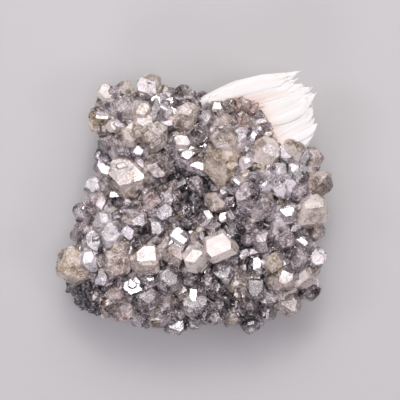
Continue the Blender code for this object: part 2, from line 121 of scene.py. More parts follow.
def skin(theta, phi, lift):
    """Points of the rock's skin, raised outwards by lift.

    Seen from the side it is a rounded box: width is a power of the sine of phi and height is the
    same power of its cosine. Below the waist it curves in to the flat foot.
    """
    reach = (rock_reach(theta) + lift) * np.sin(phi) ** SQUARENESS
    x, y = reach * np.cos(theta), reach * np.sin(theta)
    rise = np.maximum(0, np.cos(phi)) ** SQUARENESS
    drop = (np.minimum(0, np.cos(phi)) / math.cos(FOOT_ANGLE)) ** (1 / (1 + SQUARENESS))
    top = WAIST_HEIGHT + (top_height(x, y) + lift - WAIST_HEIGHT) * rise
    return np.stack((x, y, np.where(phi <= math.pi / 2, top, WAIST_HEIGHT * (1 - drop))), axis=-1)


def outward(theta, phi, lift):
    """The skin's outward direction: the cross product of its two slopes."""
    round_it = skin(theta + SLOPE_ANGLE, phi, lift) - skin(theta - SLOPE_ANGLE, phi, lift)
    above = np.maximum(BESIDE_POLE, phi - SLOPE_ANGLE)
    down_it = skin(theta, phi + SLOPE_ANGLE, lift) - skin(theta, above, lift)
    across = np.cross(down_it, round_it)
    return across / np.linalg.norm(across, axis=-1, keepdims=True)


print("rock top at the middle: %.1f mm" % (float(top_height(0.0, 0.0)) / MM))

# %% [markdown]
# ## Meshes from arrays
#
# Blender takes whole arrays through foreach_set, which is far quicker than adding corners one by
# one. Two small helpers cover everything below: one puts corners, faces and attributes into a
# mesh, the other joins a grid of points into a closed tube with a pole at each end.

# %% Two mesh helpers


def put_mesh(name, points, corners, totals, finish, smooth=False, point_data=None, face_data=None):
    """A mesh object at the origin: all points, then every face's corners one after the other."""
    mesh = bpy.data.meshes.new(name)
    mesh.vertices.add(len(points))
    mesh.vertices.foreach_set("co", np.ascontiguousarray(points, dtype=np.float32).ravel())
    mesh.loops.add(len(corners))
    mesh.loops.foreach_set("vertex_index", np.ascontiguousarray(corners, dtype=np.int32))
    mesh.polygons.add(len(totals))
    starts = np.concatenate(([0], np.cumsum(totals)[:-1])).astype(np.int32)
    mesh.polygons.foreach_set("loop_start", starts)
    mesh.polygons.foreach_set("use_smooth", np.full(len(totals), smooth))
    mesh.update(calc_edges=True)
    for domain, data in (("POINT", point_data or {}), ("FACE", face_data or {})):
        for key, values in data.items():
            if values.ndim == 2:
                layer = mesh.attributes.new(key, "FLOAT_COLOR", domain)
                layer.data.foreach_set("color", values.astype(np.float32).ravel())
            else:
                layer = mesh.attributes.new(key, "FLOAT", domain)
                layer.data.foreach_set("value", values.astype(np.float32))
    mesh.validate()
    mesh.materials.append(finish)
    piece = bpy.data.objects.new(name, mesh)
    bpy.context.collection.objects.link(piece)
    print("%s: %d points, %d triangles" % (name, len(mesh.vertices), (np.array(totals) - 2).sum()))
    return piece


def closed_grid(rows, around):
    """Faces of a grid of rows by around points, closed round, with a pole before and after it.

    Point 0 is the first pole, then come the rows, and the last point is the other pole.
    """
    row, step = np.meshgrid(np.arange(rows - 1), np.arange(around), indexing="ij")
    here = 1 + row * around + step
    beside = 1 + row * around + (step + 1) % around
    quads = np.stack((here, here + around, beside + around, beside), axis=-1).reshape(-1, 4)
    ring = np.arange(around)
    after = (ring + 1) % around
    start = np.stack((0 * ring, 1 + ring, 1 + after), axis=-1)
    last = 1 + (rows - 1) * around
    end = np.stack((0 * ring + last + around, last + after, last + ring), axis=-1)
    corners = np.concatenate((quads.ravel(), start.ravel(), end.ravel()))
    totals = np.concatenate((np.full(len(quads), 4), np.full(2 * around, 3)))
    return corners, totals


# %% [markdown]
# ## Finishes written as sums
#
# A finish is a graph of nodes, and most of it is arithmetic: more haze here, less polish there.
# Wrapping a socket in a small class lets Python's own operators add the Math nodes, so that a
# finish reads like the sentence that describes it. Everything else goes through one method that
# takes a node's kind, its settings and its inputs.

# %% The finish classes


class Wire:
    """One output of a shader node. Arithmetic on it adds Math nodes."""

    def __init__(self, finish, socket):
        self.finish = finish
        self.socket = socket

    def sum_with(self, operation, first, second):
        return self.finish.add("ShaderNodeMath", {"operation": operation}, {0: first, 1: second})

    def __add__(self, other):
        return self.sum_with("ADD", self, other)

    def __radd__(self, other):
        return self.sum_with("ADD", other, self)

    def __sub__(self, other):
        return self.sum_with("SUBTRACT", self, other)

    def __rsub__(self, other):
        return self.sum_with("SUBTRACT", other, self)

    def __mul__(self, other):
        return self.sum_with("MULTIPLY", self, other)

    def __rmul__(self, other):
        return self.sum_with("MULTIPLY", other, self)

    def __pow__(self, other):
        return self.sum_with("POWER", self, other)

    def clamped(self):
        """The same number, kept between 0 and 1."""
        clamp = {"operation": "ADD", "use_clamp": True}
        return self.finish.add("ShaderNodeMath", clamp, {0: self, 1: 0.0})


# A veil is drawn out so many times, and it ends where the noise is so far, squared, from 0.5
VEIL_LONGER = 5.0
VEIL_SPREAD = 0.0011


class Finish:
    """A material whose graph is built by method calls."""

    def __init__(self, name):
        self.material = bpy.data.materials.new(name)
        self.material.use_nodes = True
        self.tree = self.material.node_tree
        self.tree.nodes.clear()
        self.place = self.add("ShaderNodeTexCoord", {}, {}, "Object")

    def add(self, kind, settings, inputs, output=0):
        """Adds a node, its settings first, then its inputs, and returns one of its outputs."""
        node = self.tree.nodes.new(kind)
        for key, value in settings.items():
            setattr(node, key, value)
        for key, value in inputs.items():
            if isinstance(value, Wire):
                self.tree.links.new(value.socket, node.inputs[key])
            else:
                node.inputs[key].default_value = value
        return Wire(self, node.outputs[output])

    def noise(self, per_mm, detail=3.0, roughness=0.55, offset=0.0):
        """Cloudy noise from 0 to 1, with so many swirls in a millimetre."""
        moved = self.add("ShaderNodeVectorMath", {"operation": "ADD"},
                         {0: self.place, 1: (offset, offset, offset)})
        inputs = {"Vector": moved, "Scale": per_mm / MM, "Detail": detail, "Roughness": roughness}
        return self.add("ShaderNodeTexNoise", {}, inputs)

    def cells(self, per_mm):
        """Cells of a broken body, each with a random colour."""
        inputs = {"Vector": self.place, "Scale": per_mm / MM}
        return self.add("ShaderNodeTexVoronoi", {}, inputs, "Color")

    def stretched(self, per_mm, angles, longer, detail=2.0):
        """Noise drawn out along one direction: the place is turned by angles, then x is divided."""
        settings = {"vector_type": "TEXTURE"}
        inputs = {"Vector": self.place, "Rotation": angles, "Scale": (longer, 1.0, 1.0)}
        drawn_out = self.add("ShaderNodeMapping", settings, inputs)
        inputs = {"Vector": drawn_out, "Scale": per_mm / MM, "Detail": detail}
        return self.add("ShaderNodeTexNoise", {}, inputs)

    def veil(self, per_mm, angles):
        """Thin lines, nearly straight, where stretched noise crosses its middle value."""
        off = self.stretched(per_mm, angles, VEIL_LONGER) - 0.5
        return 1 - self.ramp(off * off, 0.0, VEIL_SPREAD)

    def ramp(self, value, low, high):
        """0 below low, 1 above high, and a smooth rise between them."""
        settings = {"interpolation_type": "SMOOTHSTEP"}
        inputs = {"Value": value, "From Min": low, "From Max": high}
        return self.add("ShaderNodeMapRange", settings, inputs)

    def blend(self, factor, first, second):
        """A colour between two colours."""
        inputs = {0: factor, 6: first, 7: second}
        return self.add("ShaderNodeMix", {"data_type": "RGBA"}, inputs, 2)

    def attribute(self, name, output):
        """A value or a colour that the mesh carries."""
        return self.add("ShaderNodeAttribute", {"attribute_name": name}, {}, output)

    def axis(self, output):
        """One coordinate of the place, in metres."""
        return self.add("ShaderNodeSeparateXYZ", {}, {0: self.place}, output)

    def bump(self, height, depth, strength=1.0):
        """Bent normals, as if the surface rose by depth where height is 1."""
        inputs = {"Height": height, "Distance": depth, "Strength": strength}
        return self.add("ShaderNodeBump", {}, inputs, "Normal")

    def body(self, **inputs):
        """A Principled shader. Underscores in the names stand for spaces."""
        named = {key.replace("_", " "): value for key, value in inputs.items()}
        return self.add("ShaderNodeBsdfPrincipled", {}, named)

    def mix_shader(self, factor, first, second):
        """One shader where factor is 0, the other where it is 1."""
        return self.add("ShaderNodeMixShader", {}, {0: factor, 1: first, 2: second})

    def done(self, surface, volume=None):
        """Joins the shader to the output and returns the material."""
        ends = {"Surface": surface}
        if volume:
            ends["Volume"] = volume
        output = self.tree.nodes.new("ShaderNodeOutputMaterial")
        for key, wire in ends.items():
            self.tree.links.new(wire.socket, output.inputs[key])
        return self.material


# %% [markdown]
# ## Cerussite
#
# Lead carbonate bends light almost as strongly as diamond does, so its faces flash white wherever
# they mirror a lamp, and look dark and glassy elsewhere. Most of these crystals are also hazy
# inside, with smoke, cream and honey tints. One shader can't be both, so a see-through body and a
# cloudy body are mixed, and each crystal carries its own tint and share of haze as attributes.
#
# Three things keep the crystals from looking moulded. Pale veils, like healed cracks, run through
# them in two directions. The haziest ones are etched dull in spots. And every face has a random
# number of its own, which makes it a little lighter or darker than the next one.

# %% The cerussite finish
CERUSSITE_IOR = 1.95
# Colour of haze and veils, then colour of the glass in depth and how much of it a metre takes up
HAZE_COLOUR = (0.94, 0.85, 0.82, 1.0)
SMOKE_COLOUR = (0.80, 0.71, 0.70, 1.0)
SMOKE_PER_METRE = 80.0
# Two sets of veils: how many in a millimetre, and how they are turned
VEILS = [(1.1, (0.3, 0.2, 0.6)), (0.9, (-0.4, 0.5, 2.3))]
BUMP_DEPTH = 0.04 * MM


def cerussite_finish():
    """Glass mixed with a cloudy body by each crystal's haze, broken up by veils and fractures."""
    finish = Finish("cerussite")
    tint = finish.attribute("tint", "Color")
    haze = finish.attribute("haze", "Fac")
    facet = finish.attribute("facet", "Fac")
    cloud = finish.noise(0.42, 4.0, 0.6)
    fine = finish.noise(2.4, 2.0, 0.5, 0.02)
    veils = finish.veil(*VEILS[0]) + finish.veil(*VEILS[1])
    crack = (veils * finish.ramp(fine, 0.35, 0.6)).clamped()
    share = (haze + (facet - 0.5) * 0.4 + (cloud - 0.5) * 2.4 + crack * 0.6).clamped()
    mottle = finish.noise(1.3, 4.0, 0.65, 0.04)
    etched = finish.ramp(haze, 0.50, 0.72) * finish.ramp(mottle, 0.40, 0.60) * 0.34
    etched = etched + finish.ramp(haze, 0.62, 0.72) * finish.ramp(cloud, 0.35, 0.60) * 0.26
    dull = (0.02 + facet**4 * 0.20 + finish.ramp(cloud, 0.6, 0.8) * 0.10 + etched).clamped()
    normal = finish.bump(fine - crack * 0.4, BUMP_DEPTH, 0.03)
    milk = (finish.ramp(cloud, 0.35, 0.72) * 0.5 + crack * 0.6).clamped()
    pale = finish.blend(milk, tint, HAZE_COLOUR)
    pale = finish.add("ShaderNodeVectorMath", {"operation": "SCALE"},
                      {0: pale, "Scale": (0.68 + facet * 0.58) * (0.80 + mottle * 0.36)})
    clear = finish.body(Base_Color=tint, Roughness=dull, IOR=CERUSSITE_IOR, Transmission_Weight=1.0,
                        Normal=normal)
    cloudy = finish.body(Base_Color=pale, Roughness=dull, IOR=CERUSSITE_IOR,
                         Transmission_Weight=0.12, Normal=normal, Subsurface_Weight=0.35,
                         Subsurface_Scale=1.2 * MM, Subsurface_Radius=(1.0, 0.85, 0.7))
    smoke = finish.add("ShaderNodeVolumeAbsorption", {},
                       {"Color": SMOKE_COLOUR, "Density": SMOKE_PER_METRE})
    return finish.done(finish.mix_shader(share, clear, cloudy), smoke)


cerussite = cerussite_finish()

# %% [markdown]
# ## Flat-faced crystals, many at once
#
# A crystal is what is left of a block when every face plane has sliced off what lies outside it.
# Cutting blocks one at a time is slow. But all crystals of a mineral share the directions of their
# faces, and only the distances differ. So the corners of thousands of crystals come out of one
# product of arrays: wherever three planes meet and no other plane cuts the point off.

# %% Crystal faces
# Cerussite's axes, and its face families with their distances as shares of a crystal's radius
AXES = (0.610, 1.0, 0.723)
FORMS = [((1, 1, 0), 0.97), ((0, 1, 0), 0.93), ((1, 1, 1), 0.96), ((0, 0, 1), 0.90)]
# Narrow extra faces that blunt the corners, on the larger crystals only
CORNER_FORMS = [((0, 2, 1), 1.06), ((1, 3, 0), 1.03)]
# How unevenly the faces of one crystal stand
FACE_SCATTER = 0.2
BASAL, PYRAMID, SIDE, PRISM, FREE = (0, 0, 1), (1, 1, 1), (0, 1, 0), (1, 1, 0), None


def face_normal(indices):
    """Direction of the face with these Miller indices: each index over its axis."""
    return Vector(index / axis for index, axis in zip(indices, AXES)).normalized()


def face_table():
    """All faces of all forms: their directions, and their distances as shares of the radius."""
    normals, distances = [], []
    for indices, distance in FORMS + CORNER_FORMS:
        signs = [sorted({-index, index}) for index in indices]
        for face in itertools.product(*signs):
            normals.append(tuple(face_normal(face)))
            distances.append(distance)
    return np.array(normals), np.array(distances)


NORMALS, DISTANCES = face_table()
MAIN_FACES = 16
ALL_FACES = len(NORMALS)
STEEP = np.abs(NORMALS[:, 2])


def face_distances(radius, stretch, scatter):
    """How far each face stands from the centre: radius by form, scattered, drawn out along z."""
    faces = scatter.shape[1]
    steep = STEEP[:faces]
    longer = np.hypot(np.sqrt(1 - steep**2), steep * stretch[:, None])
    return DISTANCES[:faces] * (1 + FACE_SCATTER * scatter) * radius[:, None] * longer


# Crystals worked on at once, planes taken as parallel, and the slack in touching a plane
CHUNK = 300
NEARLY_PARALLEL = 0.02
TOUCHING = 1e-9


def crystal_corners(distances):
    """Corners of many crystals: where three planes meet and no other cuts the point off."""
    normals = NORMALS[:distances.shape[1]]
    triples = np.array(list(itertools.combinations(range(len(normals)), 3)))
    lattice = normals[triples]
    solvable = np.abs(np.linalg.det(lattice)) > NEARLY_PARALLEL
    triples = triples[solvable]
    inverse = np.linalg.inv(lattice[solvable])
    found = []
    for start in range(0, len(distances), CHUNK):
        part = distances[start:start + CHUNK]
        meets = np.einsum("tij,ntj->nti", inverse, part[:, triples])
        over = np.einsum("nti,fi->ntf", meets, normals) - part[:, None, :]
        which, triple = np.nonzero((over < TOUCHING).all(axis=2))
        found.append((which + start, triples[triple], meets[which, triple]))
    return [np.concatenate(parts) for parts in zip(*found)]


# Any direction that no face looks along
OFF_ALL_FACES = (0.31, 0.17, 0.93)


def crystal_faces(which, planes, points):
    """Outlines of all faces: the corners on each, in order of angle about its middle."""
    count = len(NORMALS)
    crystal = np.repeat(which, 3)
    face = planes.ravel()
    corner = np.repeat(np.arange(len(which)), 3)
    key = crystal * count + face
    size = np.bincount(key, minlength=count * (which.max() + 1))
    sums = [np.bincount(key, points[corner, axis], len(size)) for axis in range(3)]
    middle = np.stack(sums, axis=-1) / np.maximum(size, 1)[:, None]
    across = np.cross(NORMALS, OFF_ALL_FACES)
    across /= np.linalg.norm(across, axis=1, keepdims=True)
    along = np.cross(NORMALS, across)
    offset = points[corner] - middle[key]
    angle = np.arctan2((offset * along[face]).sum(1), (offset * across[face]).sum(1))
    order = np.lexsort((angle, key))
    order = order[size[key[order]] > 2]
    kept = np.flatnonzero(size > 2)
    return corner[order], size[kept], kept


def turned(points, which, rotations, centres):
    """Every corner turned with its crystal and moved to its crystal's centre."""
    return np.einsum("nij,nj->ni", rotations[which], points) + centres[which]


def put_crystals(name, crystals, finish):
    """One mesh of many crystals, each with its own tint and haze, each face with its own polish."""
    distances = face_distances(crystals["radius"], crystals["stretch"], crystals["scatter"])
    which, planes, points = crystal_corners(distances)
    corners, totals, kept = crystal_faces(which, planes, points)
    placed = turned(points, which, crystals["rotation"], crystals["centre"])
    polish = np.random.default_rng(7).random(len(kept))
    tint = np.concatenate((crystals["tint"][which], np.ones((len(which), 1))), axis=1)
    return put_mesh(name, placed, corners, totals, finish,
                    point_data={"tint": tint, "haze": crystals["haze"][which]},
                    face_data={"facet": polish})


print("faces of one crystal: %d, or %d with blunted corners" % (MAIN_FACES, ALL_FACES))

# %% [markdown]
# ## The crystals that stand out
#
# The large crystals are read off the real specimen one by one: where each one is, how big it is,
# and which of its faces looks up at the lamp. That face is the one that flashes white, so turning
# it the right way puts the flash where the real crystal has it.

# %% Table of the large crystals
# How thick the crust is, and where it ends on the sides and above the bare corner
CRUST = 1.6 * MM
CRUST_EDGE = math.radians(90)
BARE_EDGE = math.radians(43)
EDGE_WAVES = [(math.radians(6), 5, 0), (math.radians(4), 11, 1)]
# Flashing faces look this far off straight up, with this scatter, and the others lean in degrees
LIGHT_TILT = math.radians(17)
LIGHT_SCATTER = math.radians(4)
FREE_LEAN = (20, 60)
# The crust's slopes: measured a little inside each place, over this step, and never steeper
SLOPE_INSIDE = 0.93
SLOPE_STEP = 0.5 * MM
STEEPEST = 2.2
RIM_SHARE = 0.975
# Large crystals between the listed ones: size, number, and the room they need
FILLER_RADIUS = 2.5 * MM
FILLER_COUNT = 20
FILLER_CROWDING = 0.1
LISTED_ROOM = 0.8
LOWEST_CRYSTAL = 1.2 * MM
FILLER_FROM_EDGE = math.radians(12)
FILLER_LEAN = (5, 50)
FILLER_STRETCH = (0.9, 1.3)

# Looks: colour, and the share of haze in it
SMOKE = ((0.52, 0.44, 0.45), 0.31)
CLEAR = ((0.92, 0.83, 0.86), 0.14)
BEIGE = ((0.95, 0.79, 0.64), 0.50)
HONEY = ((0.96, 0.77, 0.52), 0.50)
CREAM = ((0.90, 0.78, 0.66), 0.70)
PALE = ((0.99, 0.88, 0.77), 0.90)
MILKY = ((0.95, 0.865, 0.885), 0.56)
BROWN = ((0.55, 0.44, 0.36), 0.54)
ROSE = ((0.68, 0.50, 0.45), 0.52)
RUST = ((0.30, 0.165, 0.115), 0.85)

FILLER_LOOKS = [SMOKE, BEIGE, SMOKE, BROWN, CLEAR]

# In mm: x, y, radius, length over width, the face that looks up, its turn, the look
CRYSTALS_MM = [
    # The knob at the far left
    (-19.0, 24.0, 2.1, 1.0, BASAL, 10, CREAM), (-9.2, 24.8, 2.9, 1.1, FREE, 40, BEIGE),
    (-5.1, 23.3, 2.0, 1.0, FREE, 80, SMOKE), (-1.6, 22.6, 2.8, 1.0, FREE, 15, SMOKE),
    (-14.9, 20.3, 2.6, 1.0, PYRAMID, 100, SMOKE), (-20.2, 18.6, 2.9, 1.2, SIDE, 85, HONEY),
    (-1.6, 18.9, 2.7, 1.0, PRISM, 20, BEIGE), (-8.8, 14.3, 3.2, 0.9, FREE, 10, BEIGE),
    (-18.3, 13.4, 2.4, 1.0, FREE, 70, SMOKE), (-10.6, 17.8, 2.0, 1.0, FREE, 30, BEIGE),
    (-14.3, 12.0, 2.1, 1.0, FREE, 20, CLEAR), (-2.5, 13.0, 1.9, 1.0, BASAL, 55, CREAM),
    (-1.3, 10.1, 1.9, 1.0, PYRAMID, 25, CLEAR), (-5.4, 10.6, 1.9, 1.0, FREE, 140, SMOKE),
    # The left side
    (-14.3, 6.0, 4.3, 0.9, BASAL, 75, BEIGE), (-19.3, 7.8, 2.3, 1.2, SIDE, 30, SMOKE),
    (-7.4, 8.4, 2.8, 1.0, FREE, 130, BROWN), (-21.6, 3.6, 2.1, 1.0, BASAL, 20, MILKY),
    (-20.4, 0.0, 2.8, 1.0, FREE, 95, SMOKE), (-23.6, -2.2, 2.2, 1.3, SIDE, 65, CLEAR),
    (-13.2, -1.6, 2.3, 1.0, FREE, 0, SMOKE), (-19.0, -3.4, 2.0, 1.0, BASAL, 45, MILKY),
    (-24.8, -6.6, 2.0, 1.0, FREE, 25, SMOKE), (-17.2, -6.8, 2.9, 1.0, BASAL, 0, MILKY),
    (-25.9, -13.1, 4.1, 0.9, FREE, 35, HONEY), (-22.4, -12.0, 2.4, 1.0, PYRAMID, 60, MILKY),
    (-16.6, 1.2, 1.9, 1.0, PRISM, 50, SMOKE),
    # The near left
    (-16.1, -12.2, 3.2, 1.0, FREE, 110, BROWN), (-10.0, -11.6, 3.4, 1.0, PRISM, 140, BEIGE),
    (-8.6, -5.4, 2.3, 1.3, PYRAMID, 150, CLEAR), (-13.2, -6.2, 2.3, 1.0, FREE, 75, SMOKE),
    (-13.2, -18.0, 2.5, 1.0, BASAL, 80, CLEAR), (-9.7, -20.1, 2.9, 1.0, PYRAMID, 20, SMOKE),
    (-15.4, -22.9, 2.2, 1.0, FREE, 50, ROSE), (-7.8, -24.8, 2.3, 1.0, FREE, 15, BEIGE),
    (-5.3, -16.2, 3.1, 1.1, FREE, 85, SMOKE), (-4.0, -26.2, 2.4, 1.0, BASAL, 40, SMOKE),
    # The middle
    (-9.2, 0.6, 2.5, 1.0, FREE, 145, ROSE), (-5.2, 0.4, 2.9, 1.0, FREE, 55, SMOKE),
    (4.4, 0.4, 2.3, 1.0, FREE, 65, BEIGE), (2.8, -2.8, 2.4, 1.0, PYRAMID, 170, SMOKE),
    (-3.1, -7.4, 2.4, 1.0, PRISM, 100, MILKY), (-4.5, -10.9, 2.4, 1.0, FREE, 35, BEIGE),
    (0.3, -11.4, 3.1, 1.0, BASAL, 110, PALE), (5.5, -9.0, 3.5, 1.1, PYRAMID, 75, PALE),
    (5.6, 8.2, 3.9, 0.85, FREE, 20, HONEY), (6.6, 13.6, 3.2, 1.0, FREE, 120, BEIGE),
    (1.0, 14.9, 2.4, 1.0, PRISM, 10, SMOKE), (10.3, -4.4, 2.3, 1.0, FREE, 0, CLEAR),
    (-0.6, -3.8, 2.0, 1.0, FREE, 95, SMOKE),
    # Below the barite
    (7.0, 18.0, 2.2, 1.0, FREE, 30, BROWN), (12.7, 14.6, 2.0, 1.3, PYRAMID, 115, CLEAR),
    (15.4, 11.4, 3.0, 1.0, FREE, 50, BEIGE), (2.4, 18.4, 1.9, 1.2, SIDE, 5, CLEAR),
    # The right side
    (19.6, 10.8, 1.9, 1.0, BASAL, 60, MILKY),
    (23.4, 10.0, 2.1, 1.0, PYRAMID, 0, CLEAR), (25.4, 9.8, 2.7, 1.0, FREE, 25, ROSE),
    (18.6, 6.6, 2.1, 1.3, PRISM, 140, CLEAR), (27.0, 4.4, 2.8, 1.2, FREE, 70, BROWN),
    (11.6, 1.6, 2.9, 1.0, FREE, 40, SMOKE), (22.8, 2.6, 2.4, 1.0, FREE, 110, SMOKE),
    (24.9, -1.6, 3.9, 0.95, PRISM, 55, CREAM), (14.8, -0.8, 2.9, 1.0, FREE, 15, SMOKE),
    (20.0, -2.0, 2.0, 1.0, BASAL, 70, CLEAR), (26.2, -5.6, 2.3, 1.0, FREE, 90, BROWN),
    (14.5, -7.8, 2.7, 1.0, FREE, 0, SMOKE), (19.3, -7.6, 2.1, 1.0, FREE, 35, SMOKE),
    # The near right
    (26.6, -11.7, 2.6, 1.0, BASAL, 15, MILKY), (22.6, -12.2, 2.5, 1.0, FREE, 60, SMOKE),
    (17.4, -12.6, 2.3, 1.0, PRISM, 75, HONEY), (23.4, -15.8, 2.6, 1.0, FREE, 45, CREAM),
    (19.3, -16.2, 2.5, 1.0, BASAL, 35, BROWN), (25.0, -18.2, 2.6, 1.0, FREE, 80, SMOKE),
    (20.2, -21.2, 3.0, 1.0, PYRAMID, 310, BROWN), (8.6, -12.4, 2.0, 1.0, FREE, 10, SMOKE),
    (4.5, -18.2, 2.2, 1.1, PYRAMID, 120, SMOKE), (13.4, -18.4, 2.5, 1.0, SIDE, 0, SMOKE),
    (9.4, -17.0, 2.1, 1.0, FREE, 55, HONEY), (11.9, -21.8, 2.4, 1.0, FREE, 130, SMOKE),
    (0.0, -21.4, 2.5, 1.4, SIDE, 90, CLEAR), (4.2, -23.0, 3.1, 1.1, FREE, 100, SMOKE),
    (8.8, -24.6, 2.0, 1.0, FREE, 75, BEIGE), (16.0, -23.0, 2.1, 1.0, FREE, 20, SMOKE),
    (12.6, -25.8, 2.2, 1.1, FREE, 65, CLEAR), (0.0, -15.8, 2.2, 1.0, FREE, 0, SMOKE),
]

# The same for smaller ones that still stand out
SMALL_MM = [
    (-17.2, 24.4, 1.8, 1.0, FREE, 70, SMOKE), (-19.8, 21.4, 1.7, 1.0, FREE, 30, BEIGE),
    (-15.0, 25.3, 1.7, 1.0, FREE, 0, BEIGE), (-7.9, 22.0, 1.6, 1.0, BASAL, 35, MILKY),
    (-11.0, 21.8, 1.6, 1.0, FREE, 60, CLEAR), (-17.0, 16.8, 1.5, 1.0, FREE, 0, HONEY),
    (-6.3, 19.8, 1.7, 1.0, PYRAMID, 200, MILKY), (-11.9, 11.3, 1.4, 1.0, BASAL, 0, MILKY),
    (-21.7, -8.2, 1.9, 1.4, SIDE, 15, CLEAR), (-14.4, -9.8, 1.6, 1.0, BASAL, 15, MILKY),
    (-16.4, -19.4, 1.9, 1.2, FREE, 5, ROSE), (-4.6, -24.5, 1.6, 1.0, BASAL, 40, CLEAR),
    (-9.3, -16.3, 1.7, 1.0, PYRAMID, 0, CLEAR), (-2.8, -26.6, 1.7, 1.0, FREE, 5, BEIGE),
    (-19.3, -15.8, 1.7, 1.0, PRISM, 30, SMOKE), (-7.0, -2.6, 1.5, 1.0, PYRAMID, 40, CLEAR),
    (0.2, 4.6, 1.8, 1.0, FREE, 20, SMOKE), (10.9, 18.0, 1.9, 1.2, FREE, 15, RUST),
    (9.8, 14.5, 1.8, 1.2, SIDE, 125, CLEAR), (11.4, 8.9, 1.5, 1.0, PRISM, 80, MILKY),
    (21.2, 7.6, 1.6, 1.0, BASAL, 100, MILKY), (22.4, 5.6, 1.6, 1.0, SIDE, 30, CLEAR),
    (9.0, 3.9, 1.8, 1.1, PYRAMID, 190, MILKY), (15.2, 4.0, 1.9, 1.0, PYRAMID, 90, CLEAR),
    (18.2, 3.0, 1.6, 1.0, PYRAMID, 215, MILKY), (23.4, -8.2, 1.8, 1.0, PYRAMID, 10, CLEAR),
    (13.4, -13.4, 1.7, 1.2, PYRAMID, 250, CLEAR), (0.2, -26.0, 1.6, 1.0, BASAL, 50, MILKY),
]
print("crystals in the tables: %d" % (len(CRYSTALS_MM) + len(SMALL_MM)))

# %% Places and turns of the large crystals


def crust_height(x, y):
    """Height of the crust above a point of the plan: the skin's rounded box, level at the rim."""
    reach = float(rock_reach(math.atan2(y, x))) + CRUST
    share = min(RIM_SHARE, math.hypot(x, y) / reach)
    rise = math.cos(math.asin(share ** (1 / SQUARENESS))) ** SQUARENESS
    return WAIST_HEIGHT + (float(top_height(x, y)) + CRUST - WAIST_HEIGHT) * rise


def surface_normal(x, y):
    """Which way the crust faces above a point of the plan: its two slopes, never too steep."""
    at = Vector((x, y)) * SLOPE_INSIDE
    slopes = []
    for shift in (Vector((SLOPE_STEP, 0)), Vector((0, SLOPE_STEP))):
        rise = crust_height(*(at + shift)) - crust_height(*(at - shift))
        slopes.append(max(-STEEPEST, min(STEEPEST, rise / (2 * SLOPE_STEP))))
    return Vector((-slopes[0], -slopes[1], 1)).normalized()


def facing(normal, toward, turn):
    """The rotation that brings a crystal's face round to look at toward, turned about it."""
    spin = Matrix.Rotation(turn, 3, toward)
    return spin @ normal.rotation_difference(toward).to_matrix()


def large_crystal(row, pick):
    """Centre and rotation of one crystal of the table."""
    x, y, face, turn = row[0] * MM, row[1] * MM, row[4], math.radians(row[5])
    scatter = [LIGHT_SCATTER * pick.uniform(-1, 1) for _ in range(2)]
    if face is FREE:
        axis = pick.choice(["Z", "Y"])
        lean = Matrix.Rotation(math.radians(pick.uniform(*FREE_LEAN)), 3, axis)
        rotation = facing(Vector((0, 0, 1)), surface_normal(x, y), turn) @ lean
    else:
        toward = Vector((scatter[0], math.tan(LIGHT_TILT) + scatter[1], 1)).normalized()
        rotation = facing(face_normal(face), toward, turn)
    return (x, y, crust_height(x, y)), rotation


def crust_edge(theta):
    """Where the crust stops on its way down the side: a wavy line, higher over the bare corner."""
    wave = sum(height * np.sin(times * theta + start) for height, times, start in EDGE_WAVES)
    return CRUST_EDGE + wave + (BARE_EDGE - CRUST_EDGE) * bareness(theta)


def filler_crystals(taken):
    """Large crystals of the sides and of the empty places: centre, rotation and stretch."""
    pick = random.Random(23)
    found = []
    while len(found) < FILLER_COUNT:
        theta = pick.uniform(0, TURN)
        phi = math.acos(pick.uniform(math.cos(crust_edge(theta) - FILLER_FROM_EDGE), 1))
        centre = Vector(skin(theta, phi, CRUST))
        room = min((centre - other).length - size for other, size in taken)
        if room < FILLER_CROWDING * FILLER_RADIUS or centre.z < FILLER_RADIUS + LOWEST_CRYSTAL:
            continue
        taken.append((centre, FILLER_RADIUS))
        turn = pick.uniform(0, TURN)
        lean = Matrix.Rotation(math.radians(pick.uniform(*FILLER_LEAN)), 3, "Y")
        rotation = facing(Vector((0, 0, 1)), Vector(outward(theta, phi, CRUST)), turn) @ lean
        found.append((centre, rotation, pick.uniform(*FILLER_STRETCH)))
    return found


# %% [markdown]
# ## Painted light and shade over the crust
#
# The crystals' tints and haze are painted paler, as painted light, in bells towards the far edge
# and the sides, and darker, as painted shade, in the middle hollow and towards the near edge. Each
# bell has a place, a width and a strength, and they say this for all crystals at once, large and
# small.

# %% Painted light and shade of the crust
# Place, half width, and the share of painted light, or of painted shade where it is below 0
PAINTED_LIGHT_AREAS_MM = [
    (6.0, -16.0, 11.0, -0.24), (-5.0, 0.5, 4.0, -0.36), (-0.5, 17.5, 7.0, 0.28),
    (-18.0, 22.0, 8.0, 0.32), (11.0, 14.5, 6.0, 0.24), (22.5, 1.0, 8.0, 0.30),
    (-20.0, 0.0, 6.5, 0.26), (-24.0, -8.0, 5.0, 0.12), (7.0, 8.0, 6.0, 0.18),
    (13.0, -4.0, 5.0, 0.22), (23.0, -14.0, 5.0, 0.20), (-2.0, 3.0, 3.0, 0.15),
]
# A crystal painted paler is hazier too, by this share of it; no tint gets past the next value
HAZE_WITH_COLOUR = 0.3
PALEST = 0.96


def painted_light_change(centres):
    """Painted light and shade, as shares of each crystal's look: a sum of bells, one for each area.
    """
    areas = np.array(PAINTED_LIGHT_AREAS_MM)
    off = (centres[:, None, :2] / MM - areas[:, :2]) / areas[:, 2:3]
    return (areas[:, 3] * np.exp(-(off**2).sum(axis=2))).sum(axis=1)


def with_painted_light(crystals):
    """The crystals with tint and haze changed by the painted light and shade. No tint gets past
    PALEST.
    """
    change = painted_light_change(crystals["centre"])
    factor = np.minimum(1 + change, PALEST / crystals["tint"].max(axis=1))
    crystals["tint"] = crystals["tint"] * factor[:, None]
    crystals["haze"] = (crystals["haze"] + HAZE_WITH_COLOUR * change).clip(0, 1)
    return crystals


# %% The large crystals as arrays


